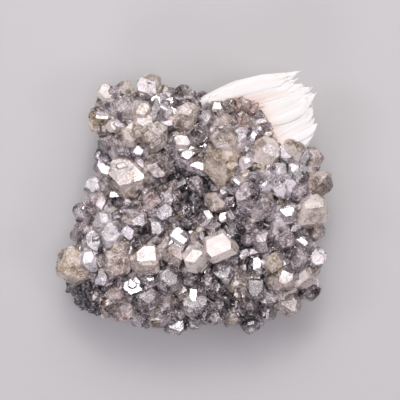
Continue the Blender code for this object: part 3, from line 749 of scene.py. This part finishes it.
def large_crystals():
    """The tables and the crystals between them, as arrays."""
    pick = random.Random(5)
    rows = CRYSTALS_MM + SMALL_MM
    places = [large_crystal(row, pick) for row in rows]
    split = len(CRYSTALS_MM)
    taken = [(Vector(place[0]), row[2] * MM * LISTED_ROOM)
             for place, row in zip(places, CRYSTALS_MM)]
    fillers = filler_crystals(taken)
    looks = [row[6] for row in rows[:split]]
    looks += [FILLER_LOOKS[index % len(FILLER_LOOKS)] for index in range(len(fillers))]
    looks += [row[6] for row in rows[split:]]
    draw = random.Random(41)
    scatter = [[draw.uniform(-1, 1) for _ in range(MAIN_FACES)] for _ in looks]
    corner_faces = (len(looks), ALL_FACES - MAIN_FACES)
    blunting = np.random.default_rng(6).uniform(-0.5, 1, corner_faces)
    sizes = [row[2] * MM for row in rows]
    longs = [row[3] for row in rows]
    middle = [FILLER_RADIUS] * len(fillers)
    return {
        "centre": np.array([place[0] for place in places[:split] + fillers + places[split:]]),
        "rotation": np.array([place[1] for place in places[:split] + fillers + places[split:]]),
        "radius": np.array(sizes[:split] + middle + sizes[split:]),
        "stretch": np.array(longs[:split] + [filler[2] for filler in fillers] + longs[split:]),
        "scatter": np.concatenate((scatter, blunting), axis=1),
        "tint": np.array([look[0] for look in looks]),
        "haze": np.array([look[1] for look in looks]),
    }


# %% [markdown]
# ## Crystals on crystals
#
# A real crystal is seldom one clean block. Smaller ones grow out of its faces, either parallel to
# it, which makes steps, or turned about its long axis by an angle that the mineral fixes, which
# makes twins, and cerussite is known for its twins. So each large crystal gets a few growths. Each
# takes over its host's rotation, with no turn or with the twin's turn to one side or the other.

# %% Steps and twins
TWIN_TURN = math.radians(62.8)
GROWTHS_EACH = 5
# As shares of the host's radius: a growth's own radius, and how far out it reaches
GROWTH_SIZES = (0.30, 0.72)
GROWTH_REACHES = (0.90, 1.05)
# How high on its host it stands, from -1 to 1, and how unevenly its faces stand
GROWTH_HEIGHTS = (-0.3, 0.6)
GROWTH_SCATTER = 1.4
# A growth's tint as a share of its host's, and the spread of haze in any crystal
GROWTH_TINTS = (0.88, 1.08)
HAZE_SPREAD = 0.12
EDGE_WEAR = 0.07 * MM


def twin_growths(hosts):
    """Smaller crystals on each large one, as steps of its faces or as its twins.

    Each is turned as its host is, or a twin turn to either side about the host's long axis. Its
    middle lies out from its host's, so far that its outer end reaches about the host's surface.
    """
    draw = np.random.default_rng(9)
    host = np.repeat(np.arange(len(hosts["radius"])), GROWTHS_EACH)
    total = len(host)
    turn = TWIN_TURN * draw.integers(-1, 2, total)
    spin = np.zeros((total, 3, 3))
    spin[:, 0, 0] = spin[:, 1, 1] = np.cos(turn)
    spin[:, 1, 0], spin[:, 0, 1] = np.sin(turn), -np.sin(turn)
    spin[:, 2, 2] = 1
    round_it, up = draw.uniform(0, TURN, total), draw.uniform(*GROWTH_HEIGHTS, total)
    flat = np.sqrt(1 - up**2)
    away = np.stack((flat * np.cos(round_it), flat * np.sin(round_it), up), axis=-1)
    size = draw.uniform(*GROWTH_SIZES, total)
    reach = (draw.uniform(*GROWTH_REACHES, total) - size) * hosts["radius"][host]
    return {
        "centre": hosts["centre"][host] + away * reach[:, None],
        "rotation": hosts["rotation"][host] @ spin,
        "radius": hosts["radius"][host] * size,
        "stretch": hosts["stretch"][host],
        "scatter": draw.uniform(-GROWTH_SCATTER, GROWTH_SCATTER, (total, ALL_FACES)),
        "tint": hosts["tint"][host] * draw.uniform(*GROWTH_TINTS, (total, 1)),
        "haze": (hosts["haze"][host] + draw.normal(0, HAZE_SPREAD, total)).clip(0, 1),
    }


# The large crystals take their painted light and shade here.
large = with_painted_light(large_crystals())
grown = twin_growths(large)
both = {key: np.concatenate((large[key], grown[key])) for key in large}
big_crystals = put_crystals("cerussite_crystals", both, cerussite)
rim = big_crystals.modifiers.new("worn edges", "BEVEL")
rim.width = EDGE_WEAR
rim.segments = 1
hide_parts("cerussite_druse")
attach(big_crystals, "root")

# %% [markdown]
# ## Small crystals in the gaps
#
# Between the large crystals the crust is a crowd of smaller ones, too many to place by hand. They
# are scattered at random over the skin, kept out of the large ones, and turned every way, but a
# share of them gets one face towards a lamp, as in any druse held to the light.

# %% Scattered crystals
LOOKS = [SMOKE, CLEAR, BEIGE, MILKY, HONEY, BROWN, ROSE]
LOOK_SHARES = [0.34, 0.22, 0.22, 0.08, 0.05, 0.07, 0.02]
# Dark hollows in the crust where bare rock shows through: place and half width
HOLLOWS_MM = [
    (-19.0, 13.9, 1.0), (-13.4, 14.3, 0.8), (-4.5, 4.3, 1.3), (-0.8, 1.7, 1.2), (4.7, -12.8, 0.9),
    (6.8, -14.3, 1.2), (7.7, -22.0, 1.2), (10.3, -8.5, 1.4), (15.3, -16.1, 1.0), (14.9, -19.1, 0.9),
    (-19.5, -17.5, 0.9), (3.2, 4.6, 0.8),
]
# Places tried for each crystal that is wanted
TRIES_EACH = 6
# How much of a large crystal's radius is kept free, then in a small one's radii: how deep it may
# sink into that, how far it stays off a hollow, and how high it stays above the foot
LARGE_ROOM = 0.88
SUNK = 0.2
OFF_HOLLOW = 0.7
OFF_FOOT = 1.2
# Spread of the way a crystal stands, and of a flashing face about the lamp's direction
LEAN_SPREAD = 0.5
FLASH_SPREAD = 0.05
# Length over width: the least, the most that is added, and how rare the long ones are
SHORTEST = 0.75
LONGER_BY = 1.7
LONG_ONES_RARE = 2.2
SMALL_SCATTER = 1.7
SMALL_TINTS = (0.75, 1.1)
# A direction steeper than this needs another helper to find the axes across it
STEEP_FRAME = 0.9


def frames_on(normals, spins):
    """Three axes for each direction: two across it, turned by spin, then the direction itself."""
    helper = np.where(np.abs(normals[:, 2:]) < STEEP_FRAME, (0.0, 0.0, 1.0), (1.0, 0.0, 0.0))
    across = np.cross(helper, normals)
    across /= np.linalg.norm(across, axis=1, keepdims=True)
    along = np.cross(normals, across)
    turn = np.cos(spins)[:, None], np.sin(spins)[:, None]
    first = across * turn[0] + along * turn[1]
    return np.stack((first, np.cross(normals, first), normals), axis=-1)


def small_crystals(count, sizes, lifts, seed, room, lit, past_edge, shade):
    """Crystals at random places of the skin, in arrays.

    A place is kept if it is clear of the large crystals and of those already placed, by the share
    room of their radii. The share lit of them has a face turned to the lamp, and shade, a painted
    shade for crystals low in the gaps, darkens the tints of all.
    """
    draw = np.random.default_rng(seed)
    tries = count * TRIES_EACH
    theta = draw.uniform(0, TURN, tries)
    edge = crust_edge(theta) + past_edge
    phi = np.arccos(draw.uniform(np.cos(edge), 1))
    radius = sizes[0] + (sizes[1] - sizes[0]) * draw.random(tries) ** 2
    place = skin(theta, phi, draw.uniform(*lifts, tries))
    centres, reaches = large["centre"], large["radius"]
    gap = np.linalg.norm(place[:, None, :] - centres, axis=2) - reaches * LARGE_ROOM
    hollows = np.array(HOLLOWS_MM) * MM
    off = np.linalg.norm(place[:, None, :2] - hollows[:, :2], axis=2) - hollows[:, 2]
    free = (gap.min(axis=1) > -SUNK * radius) & (off.min(axis=1) > radius * OFF_HOLLOW)
    free = free & (place[:, 2] > radius * OFF_FOOT)
    chosen = []
    for at in np.flatnonzero(free):
        if len(chosen) == count:
            break
        near = np.linalg.norm(place[chosen] - place[at], axis=1)
        if room and chosen and (near < room * (radius[chosen] + radius[at])).any():
            continue
        chosen.append(at)
    place, radius, count = place[chosen], radius[chosen], len(chosen)
    direction = outward(theta[chosen], phi[chosen], 0.0)
    direction += draw.normal(0, LEAN_SPREAD, (count, 3))
    flash = draw.random(count) < lit
    sideways = draw.normal(0, FLASH_SPREAD, count)
    away = math.tan(LIGHT_TILT) + draw.normal(0, FLASH_SPREAD, count)
    toward = np.stack((sideways, away, np.ones(count)), axis=-1)
    direction = np.where(flash[:, None], toward, direction)
    direction /= np.linalg.norm(direction, axis=1, keepdims=True)
    face = NORMALS[draw.integers(0, MAIN_FACES, count)]
    target = frames_on(direction, draw.uniform(0, TURN, count))
    source = frames_on(face, np.zeros(count))
    look = draw.choice(len(LOOKS), count, p=LOOK_SHARES)
    tints = np.array([entry[0] for entry in LOOKS])[look]
    hazes = np.array([entry[1] for entry in LOOKS])[look]
    # Painted light and shade go into these crystals' tints and haze as well.
    return with_painted_light({
        "centre": place,
        "rotation": np.einsum("nij,nkj->nik", target, source),
        "radius": radius,
        "stretch": SHORTEST + LONGER_BY * draw.random(count) ** LONG_ONES_RARE,
        "scatter": draw.uniform(-SMALL_SCATTER, SMALL_SCATTER, (count, MAIN_FACES)),
        "tint": tints * draw.uniform(*SMALL_TINTS, (count, 1)) * shade,
        "haze": (hazes + draw.normal(0, HAZE_SPREAD, count)).clip(0, 1),
    })


def dress_crystals(piece):
    """A crystal piece rides with the rock."""
    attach(piece, "root")


# shade is painted shade on the tints: a little for these, and much for the tiny ones low in the
# gaps
middling = small_crystals(950, sizes=(0.9 * MM, 2.0 * MM), lifts=(0.4 * MM, 1.6 * MM), seed=3,
                          room=0.62, lit=0.42, past_edge=math.radians(-4), shade=0.95)
dress_crystals(put_crystals("cerussite_small_crystals", middling, cerussite))
tiny = small_crystals(3200, sizes=(0.35 * MM, 0.9 * MM), lifts=(0.1 * MM, 0.8 * MM), seed=4,
                      room=0.0, lit=0.32, past_edge=math.radians(4), shade=0.7)
dress_crystals(put_crystals("cerussite_tiny_crystals", tiny, cerussite))

# %% [markdown]
# ## Galena
#
# Galena is lead sulphide, a metal-bright mineral that always splits along the faces of a cube. A
# broken lump of it is therefore a staircase of tiny flat steps, all parallel. Noise would give a
# potato. Snapping each point of the skin to the nearest plane of a turned cube lattice gives the
# steps, and doing it with two sizes of cube gives large ledges with small ones on them.

# %% The galena finish
# The dullest and the brightest metal, and the earth on it
DARK_METAL = (0.075, 0.072, 0.075, 1.0)
BRIGHT_METAL = (0.34, 0.325, 0.335, 1.0)
EARTH_COLOUR = (0.16, 0.115, 0.08, 1.0)
GRAIN_DEPTH = 0.12 * MM


def galena_finish():
    """Dark metal with a random polish on each small cell, and rusty earth in patches."""
    finish = Finish("galena")
    speck = finish.cells(2.2)
    bright = finish.add("ShaderNodeSeparateColor", {}, {0: speck}, "Red")
    grain = finish.noise(5.0, 3.0)
    earth = finish.ramp(finish.noise(0.22, 4.0, 0.6, 0.05), 0.56, 0.72)
    metal = finish.blend(bright, DARK_METAL, BRIGHT_METAL)
    colour = finish.blend(earth * 0.75, metal, EARTH_COLOUR)
    normal = finish.bump(bright * 0.8 + grain * 0.5, GRAIN_DEPTH, 0.5)
    surface = finish.body(Base_Color=colour, Metallic=0.9 - earth * 0.75,
                          Roughness=(0.62 - bright * 0.38 + earth * 0.3).clamped(), Normal=normal)
    return finish.done(surface)


galena = galena_finish()

# %% The galena rock
ROCK_ROUND = 420
ROCK_DOWN = 150
BLOCK_TURN = np.array(Matrix.Rotation(math.radians(27), 3, "Z")
                      @ Matrix.Rotation(math.radians(14), 3, "X"))
# Two sizes of ledge: the step, and the patch that shares one offset
LEDGES = [(1.5 * MM, 2.3 * MM), (0.55 * MM, 0.9 * MM)]
# Large numbers with no common measure, which make a sine look random from patch to patch
PATCH_TURNS = (127.1, 311.7)
PATCH_SPREAD = 43758.5453
AXIS_SHIFT = 0.37
# The outward directions of the rock are taken no nearer to the foot than this
BESIDE_FOOT = FOOT_ANGLE - math.radians(3)


def cell_shift(cells):
    """A number from 0 to 1 for every pair of cell numbers: the fraction of a large sine."""
    first, second = PATCH_TURNS
    wave = np.sin(cells[..., 0] * first + cells[..., 1] * second) * PATCH_SPREAD
    return wave - np.floor(wave)


def split_along_cubes(points, normals, step, patch):
    """Moves points on to the planes of a cube lattice.

    In the lattice's axes, the coordinate that faces outwards most is rounded to a whole number of
    steps. Each patch of the other two coordinates has its own offset, which makes the ledges.
    """
    local = points @ BLOCK_TURN
    axis = np.abs(normals @ BLOCK_TURN).argmax(axis=-1)[..., None]
    others = np.concatenate(((axis + 1) % 3, (axis + 2) % 3), axis=-1)
    cells = np.floor(np.take_along_axis(local, others, axis=-1) / patch)
    shift = (cell_shift(cells)[..., None] + axis * AXIS_SHIFT) * step
    depth = np.take_along_axis(local, axis, axis=-1)
    snapped = np.round((depth + shift) / step) * step - shift
    np.put_along_axis(local, axis, snapped, axis=-1)
    return local @ BLOCK_TURN.T


def rock_grid():
    """The skin on a fine grid of the two angles, split into ledges, with a flat foot."""
    theta = np.linspace(0, TURN, ROCK_ROUND, endpoint=False)
    phi = FOOT_ANGLE * (np.arange(1, ROCK_DOWN + 1) / ROCK_DOWN)
    angles = np.meshgrid(phi, theta, indexing="ij")
    points = skin(angles[1], angles[0], 0.0)
    normals = outward(angles[1], np.minimum(angles[0], BESIDE_FOOT), 0.0)
    for step, patch in LEDGES:
        points = split_along_cubes(points, normals, step, patch)
    points[..., 2] = np.maximum(points[..., 2], 0)
    points[-1, :, 2] = 0
    return points


grid = rock_grid()
apex = grid[0].mean(axis=0, keepdims=True)
foot = np.zeros((1, 3))
corners, totals = closed_grid(ROCK_DOWN, ROCK_ROUND)
rock = put_mesh("galena_rock", np.concatenate((apex, grid.reshape(-1, 3), foot)), corners, totals,
                galena)
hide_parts("galena_matrix")
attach(rock, "root")

# %% [markdown]
# ## Barite
#
# Barite grows in thin blades, and here they fan out from one root like a half-open book. The white
# mass is really dozens of splintery laminae pressed together, which gives its fine stripes and
# its ragged tips. Each lamina is one profile, a flat lens, carried along a straight path. Near the
# end one of its edges cuts across to the other, which leaves a slanting point.

# %% The barite finish
# Whites of the blades and of their stripes, then the painted shade at the seam and root, and its
# deepest tone
WHITE = (0.985, 0.98, 0.915, 1.0)
STRIPE_WHITE = (0.96, 0.91, 0.83, 1.0)
SEAM_SHADE_COLOUR = (0.98, 0.875, 0.775, 1.0)
DEEPEST_SEAM_SHADE = (0.78, 0.58, 0.44, 1.0)
# The blades run this way, and the stripes are drawn out along them
BLADES_TOWARD = (0.0, 0.0, math.radians(24))
STRIPE_LONGER = 14.0
STRIPE_DEPTH = 0.10 * MM
# Two lines of the plan, each a slope and a distance: the blades' lower border, and their root
BORDER_LINE = (0.10, 21.6 * MM)
ROOT_LINE = (0.50, 25.4 * MM)


def barite_finish():
    """Pearly white, striped along the blades, with cream and pink painted shade at seam and root.
    """
    finish = Finish("barite")
    streak = finish.attribute("streak", "Fac")
    x, y = finish.axis("X"), finish.axis("Y")
    cloud = finish.noise(0.35, 3.0)
    stripe = finish.stretched(2.2, BLADES_TOWARD, STRIPE_LONGER, 3.0)
    white = finish.blend(finish.ramp(stripe, 0.5, 0.75) * 0.4, WHITE, STRIPE_WHITE)
    wander = (cloud - 0.5) * 2.5 * MM + (stripe - 0.5) * 1.2 * MM
    seam = y - x * BORDER_LINE[0] - BORDER_LINE[1] + wander
    inner = x + y * ROOT_LINE[0] - ROOT_LINE[1] + wander
    # Painted shade: a cream and pink band along the seam where the upper blades lie over the lower
    # fan, and a patch below it towards the fan's root, deepest where both are strong.
    along_seam = 1 - finish.ramp(seam * seam, (0.2 * MM) ** 2, (1.1 * MM) ** 2)
    along_seam = along_seam * finish.ramp(x, 4 * MM, 8 * MM)
    along_seam = along_seam * (1 - finish.ramp(x, 17 * MM, 22 * MM))
    below_seam = 1 - finish.ramp(seam, -1.5 * MM, 0.5 * MM)
    near_root = (1 - finish.ramp(inner, -0.6 * MM, 3.2 * MM)) * below_seam
    seam_shade = (along_seam * 0.8 + near_root).clamped()
    peach = finish.blend(seam_shade, white, SEAM_SHADE_COLOUR)
    colour = finish.blend(seam_shade**8 * 0.3, peach, DEEPEST_SEAM_SHADE)
    normal = finish.bump(stripe * 0.7 + streak * 0.3, STRIPE_DEPTH, 0.15)
    surface = finish.body(Base_Color=colour, Roughness=0.40 + cloud * 0.25, Normal=normal,
                          Subsurface_Weight=0.08, Subsurface_Scale=0.6 * MM,
                          Subsurface_Radius=(1.0, 0.85, 0.75))
    return finish.done(surface)


barite = barite_finish()

# %% The barite blades
# In mm: tip, length, width and thickness, then in degrees: heading, rise and roll
BLADES_MM = [
    ((23.8, 28.4, 17.9), 23.4, 5.8, 1.9, 17, 1, 4), ((21.9, 26.4, 18.2), 19.4, 5.0, 1.9, 14, 1, 3),
    ((26.9, 24.9, 17.9), 15.0, 6.2, 1.9, 20, 2, 4), ((25.5, 22.6, 18.1), 12.4, 5.6, 1.8, 24, 2, 3),
    ((26.0, 20.5, 17.8), 11.2, 5.4, 1.8, 28, 3, 5), ((26.7, 18.0, 17.6), 10.4, 5.4, 1.8, 30, 3, 4),
    ((25.6, 15.5, 17.2), 8.6, 5.0, 1.8, 31, 4, 6), ((23.2, 13.2, 16.8), 6.4, 4.6, 1.8, 33, 4, 5),
    ((22.0, 25.4, 15.9), 18.0, 6.6, 2.8, 18, 2, 10),
    ((25.0, 21.9, 15.7), 15.0, 6.8, 2.8, 22, 3, 12),
    ((25.4, 18.0, 15.5), 12.0, 6.8, 2.8, 27, 4, 10),
    ((23.8, 15.0, 15.2), 9.0, 6.0, 2.8, 30, 5, 12),
]
# Laminae in each blade, of which the first few are its thick core
LAMINAE = 13
CORES = 2
# The blades of the upper layer, which get one more blade between each two
UPPER_BLADES = 8
# Points along a lamina and round it
ALONG = 22
AROUND = 12
# A whole blade's edges: shares of its length, and there the two edges as shares of its width
UPPER_EDGE = ((0, 0.31, 0.62, 0.98, 1), (0.42, 0.47, 0.38, 0.08, -0.03))
LOWER_EDGE = ((0, 0.62, 0.86, 1), (-0.35, -0.50, -0.30, -0.03))
# Half widths, thicknesses and sideways spread as shares of the blade's, of cores and of the rest
CORE_HALF, CORE_THICK, CORE_SPREAD = 0.40, 0.36, 0.06
THIN_HALVES, THIN_THICKS, THIN_SPREAD = (0.07, 0.19), (0.06, 0.12), 0.34
# How high the thin ones lie, and their bow
THIN_HEIGHTS = (0.22, 0.30)
BOWS = (-0.03, 0.06)
# Shares of the blade's length: where a lamina ends, starts, and begins to be cut off
ENDS, STARTS, CUTS = (0, 0.14), (0.9, 1.0), (0.72, 0.9)
# Width at the root, how it opens, the width left at the tip, and how thin the tip gets
ROOT_WIDTH, OPENING = 0.5, 0.7
TIP_WIDTH = 0.03 * MM
TIP_THINNER = 0.75
# At 1 the profile would be an ellipse, and below 1 it has flatter sides
FLATNESS = 0.45


def blade_places():
    """Each blade's rotation, tip, length, width and thickness, as arrays over the blades."""
    rows = np.array([(*tip, *rest) for tip, *rest in BLADES_MM])
    upper = rows[:UPPER_BLADES]
    rows = np.concatenate((rows, (upper[1:] + upper[:-1]) / 2))
    turns = []
    for heading, rise, roll in rows[:, 6:]:
        turn = Matrix.Rotation(math.radians(heading), 3, "Z")
        turn = turn @ Matrix.Rotation(math.radians(-rise), 3, "Y")
        turns.append(turn @ Matrix.Rotation(math.radians(roll), 3, "X"))
    return np.array(turns), rows[:, :3] * MM, rows[:, 3:6] * MM


def within_blade(share, y, width):
    """Keeps y between the two edges of the whole blade, which meet at its slanting tip."""
    return np.clip(y, np.interp(share, *LOWER_EDGE) * width, np.interp(share, *UPPER_EDGE) * width)


def laminae():
    """Points of all laminae: a flat profile carried along each, in arrays.

    The left edge runs straight to the tip. The right edge runs beside it, and from the cut on it
    goes straight across to the left one. Both come together a little towards the root. Round the
    profile, width follows the cosine and thickness a power of the sine.
    """
    turns, tips, sizes = blade_places()
    draw = np.random.default_rng(12)
    blade = np.repeat(np.arange(len(turns)), LAMINAE)
    core = np.arange(len(blade)) % LAMINAE < CORES
    count = len(blade)
    length, width, thickness = sizes[blade].T
    half = width * np.where(core, CORE_HALF, draw.uniform(*THIN_HALVES, count))
    side = width * draw.uniform(-1, 1, count) * np.where(core, CORE_SPREAD, THIN_SPREAD)
    height = thickness * np.where(core, 0.0, draw.uniform(*THIN_HEIGHTS, count))
    thick = thickness * np.where(core, CORE_THICK, draw.uniform(*THIN_THICKS, count))
    end = -length * draw.uniform(*ENDS, count)
    start = -length * draw.uniform(*STARTS, count)
    cut = draw.uniform(*CUTS, count)
    bow = width * draw.uniform(*BOWS, count)
    along = np.linspace(0, 1, ALONG)[None, :, None]
    across = [values[:, None, None] for values in (half, side, height, thick, end, start, cut, bow)]
    half, side, height, thick, end, start, cut, bow = across
    narrow = ROOT_WIDTH + (1 - ROOT_WIDTH) * np.clip(along / 0.5, 0, 1) ** OPENING
    left = half * narrow
    after = np.clip((along - cut) / (1 - cut), 0, 1)
    right = -left + (2 * left - TIP_WIDTH) * after
    around = np.linspace(0, TURN, AROUND, endpoint=False)[None, None, :]
    flat = np.sign(np.sin(around)) * np.abs(np.sin(around)) ** FLATNESS
    x = start + (end - start) * along
    y = side * narrow + bow * np.sin(math.pi * along) + (left + right) / 2
    y = within_blade((x + length[:, None, None]) / length[:, None, None],
                     y + (left - right) / 2 * np.cos(around), width[:, None, None])
    z = height + thick * (1 - TIP_THINNER * after) * flat
    local = np.stack(np.broadcast_arrays(x, y, z), axis=-1)
    placed = np.einsum("nij,nabj->nabi", turns[blade], local) + tips[blade][:, None, None, :]
    streak = np.broadcast_to(draw.random((count, 1, 1)), (count, ALONG, AROUND))
    return placed, streak


def put_laminae(name, finish):
    """All laminae in one mesh, each closed with a pole at either end."""
    points, streak = laminae()
    count = len(points)
    corners, totals = closed_grid(ALONG, AROUND)
    first, last = points[:, :1].mean(axis=2), points[:, -1:].mean(axis=2)
    body = np.concatenate((first, points.reshape(count, -1, 3), last), axis=1)
    each = body.shape[1]
    shifted = corners[None, :] + each * np.arange(count)[:, None]
    pads = [(0, 0), (1, 1)]
    data = {"streak": np.pad(streak.reshape(count, -1), pads, "edge").ravel()}
    return put_mesh(name, body.reshape(-1, 3), shifted.ravel(), np.tile(totals, count), finish,
                    smooth=True, point_data=data)


fan = put_laminae("barite_blades", barite)
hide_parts("barite_fan")
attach(fan, "root")

# %% [markdown]
# ## Crystals at the barite's border
#
# Where the barite meets the crust, iron-stained and smoky crystals have crept over the lower
# border of the blades. They stand higher than the crust does there, so this table has a height of
# its own.

# %% Border crystals
# In mm: x, y, z, radius, and the look
BORDER_MM = [
    (3.2, 20.4, 18.2, 1.3, SMOKE), (5.2, 20.5, 18.6, 1.6, BROWN), (7.4, 20.9, 18.8, 1.5, BROWN),
    (9.2, 21.0, 18.9, 1.6, RUST), (11.0, 21.2, 18.9, 1.5, RUST), (12.6, 20.6, 18.8, 1.4, RUST),
    (8.2, 21.8, 19.0, 1.0, BROWN), (13.6, 19.2, 18.4, 1.4, SMOKE), (10.2, 22.2, 19.2, 0.9, RUST),
    (14.6, 18.0, 18.0, 1.4, BROWN), (6.4, 19.4, 18.0, 1.3, SMOKE), (15.6, 16.7, 17.7, 1.3, SMOKE),
    (11.6, 18.9, 17.7, 1.5, ROSE), (12.9, 17.5, 17.4, 1.6, BEIGE), (14.0, 16.0, 17.2, 1.5, SMOKE),
    (16.2, 15.2, 17.2, 1.4, BEIGE), (17.0, 13.6, 16.8, 1.3, SMOKE), (15.0, 14.6, 17.2, 1.0, CLEAR),
    (10.0, 19.6, 18.2, 1.3, BROWN), (17.9, 12.2, 16.2, 1.3, BEIGE), (8.3, 19.4, 18.0, 1.2, SMOKE),
]
# Length over width
BORDER_STRETCH = (0.9, 1.3)


def border_crystals():
    """The table as arrays, with random turns."""
    draw = np.random.default_rng(15)
    table = np.array([row[:4] for row in BORDER_MM]) * MM
    count = len(table)
    turns = [Quaternion(draw.normal(0, 1, 4)).normalized().to_matrix() for _ in range(count)]
    return {
        "centre": table[:, :3],
        "rotation": np.array([np.array(turn) for turn in turns]),
        "radius": table[:, 3],
        "stretch": draw.uniform(*BORDER_STRETCH, count),
        "scatter": draw.uniform(-1, 1, (count, ALL_FACES)),
        "tint": np.array([row[4][0] for row in BORDER_MM]),
        "haze": np.array([row[4][1] for row in BORDER_MM]),
    }


dress_crystals(put_crystals("border_crystals", border_crystals(), cerussite))

# %% [markdown]
# ## Floor, lamps and camera
#
# The look of a bright-faced mineral depends on what it mirrors. A surround that is bright all over
# would turn every face grey-white. So the room is dim, one soft lamp hangs beyond the far edge with
# a small bright one at its middle, which makes the white flashes, and a few weaker, cooler panels
# give the pale lilac ones.

# %% The stage
TARGET = Vector((0, 0, 14 * MM))
FLOOR_HALF = 2.0
FLOOR_COLOUR = (0.625, 0.63, 0.61, 1.0)
FLOOR_UNEVENNESS = 0.98
ROOM_COLOUR = (0.105, 0.098, 0.105, 1.0)
# A face that looks LIGHT_TILT off straight up mirrors what lies twice as far off
KEY_TOWARD = (0.0, math.tan(2 * LIGHT_TILT), 1.0)
# Name, direction, distance and side in metres, watts, colour
LAMPS = [
    ("glow", KEY_TOWARD, 0.60, 0.80, 1.15, (0.97, 0.92, 0.99)),
    ("key", KEY_TOWARD, 0.55, 0.36, 1.00, (1.0, 0.95, 0.965)),
    ("spark", KEY_TOWARD, 0.54, 0.12, 0.32, (1.0, 0.985, 0.985)),
    ("overhead", (0.10, -0.06, 1.0), 0.9, 0.30, 1.50, (0.95, 0.88, 1.0)),
    ("left", (-0.85, 0.15, 1.0), 0.8, 0.22, 0.70, (0.94, 0.88, 1.0)),
    ("right", (0.75, -0.25, 1.0), 0.8, 0.22, 0.70, (0.98, 0.92, 1.0)),
    ("front", (-0.35, -0.95, 0.75), 0.7, 0.28, 0.80, (0.96, 0.90, 1.0)),
]


def floor_finish():
    """Pale and matt, with the faintest unevenness."""
    finish = Finish("floor")
    darker = (*(value * FLOOR_UNEVENNESS for value in FLOOR_COLOUR[:3]), 1.0)
    tone = finish.blend(finish.noise(0.02, 2.0), FLOOR_COLOUR, darker)
    return finish.done(finish.body(Base_Color=tone, Roughness=0.85))


def add_floor():
    """A square floor, far larger than the specimen."""
    half = FLOOR_HALF
    points = np.array([(-half, -half, 0), (half, -half, 0), (half, half, 0), (-half, half, 0)])
    floor = put_mesh("floor", points, np.arange(4), np.array([4]), floor_finish())


def add_lamp(name, toward, distance, size, power, colour):
    """A square soft lamp in a direction from the specimen, facing it."""
    lamp = bpy.data.lights.new(name, "AREA")
    lamp.size = size
    lamp.energy = power
    lamp.color = colour
    item = bpy.data.objects.new(name, lamp)
    direction = Vector(toward).normalized()
    item.location = TARGET + direction * distance
    item.rotation_euler = direction.to_track_quat("Z", "Y").to_euler()
    item.visible_camera = False
    bpy.context.collection.objects.link(item)


add_floor()
for lamp_row in LAMPS:
    add_lamp(*lamp_row)
print("lamps:", [row[0] for row in LAMPS])

world = bpy.data.worlds.new("room")
world.use_nodes = True
world.node_tree.nodes["Background"].inputs["Color"].default_value = ROOM_COLOUR
world.node_tree.nodes["Background"].inputs["Strength"].default_value = 1.0
bpy.context.scene.world = world
bpy.context.scene.view_settings.view_transform = "Standard"

# %% The camera
# The frame is this wide at the height of the crystals, and its middle lies here in the plan
FRAME_WIDTH = 87.0 * MM
FRAME_MIDDLE = (1.4 * MM, 0.9 * MM)
CRYSTAL_LEVEL = 15.0 * MM
LENS_MM = 120.0
SENSOR_MM = 36.0

camera = bpy.data.objects.new("camera", bpy.data.cameras.new("camera"))
camera.data.lens = LENS_MM
camera.data.sensor_width = SENSOR_MM
camera.data.clip_start = 0.01
camera.location = (*FRAME_MIDDLE, CRYSTAL_LEVEL + FRAME_WIDTH * LENS_MM / SENSOR_MM)
bpy.context.collection.objects.link(camera)
bpy.context.scene.camera = camera
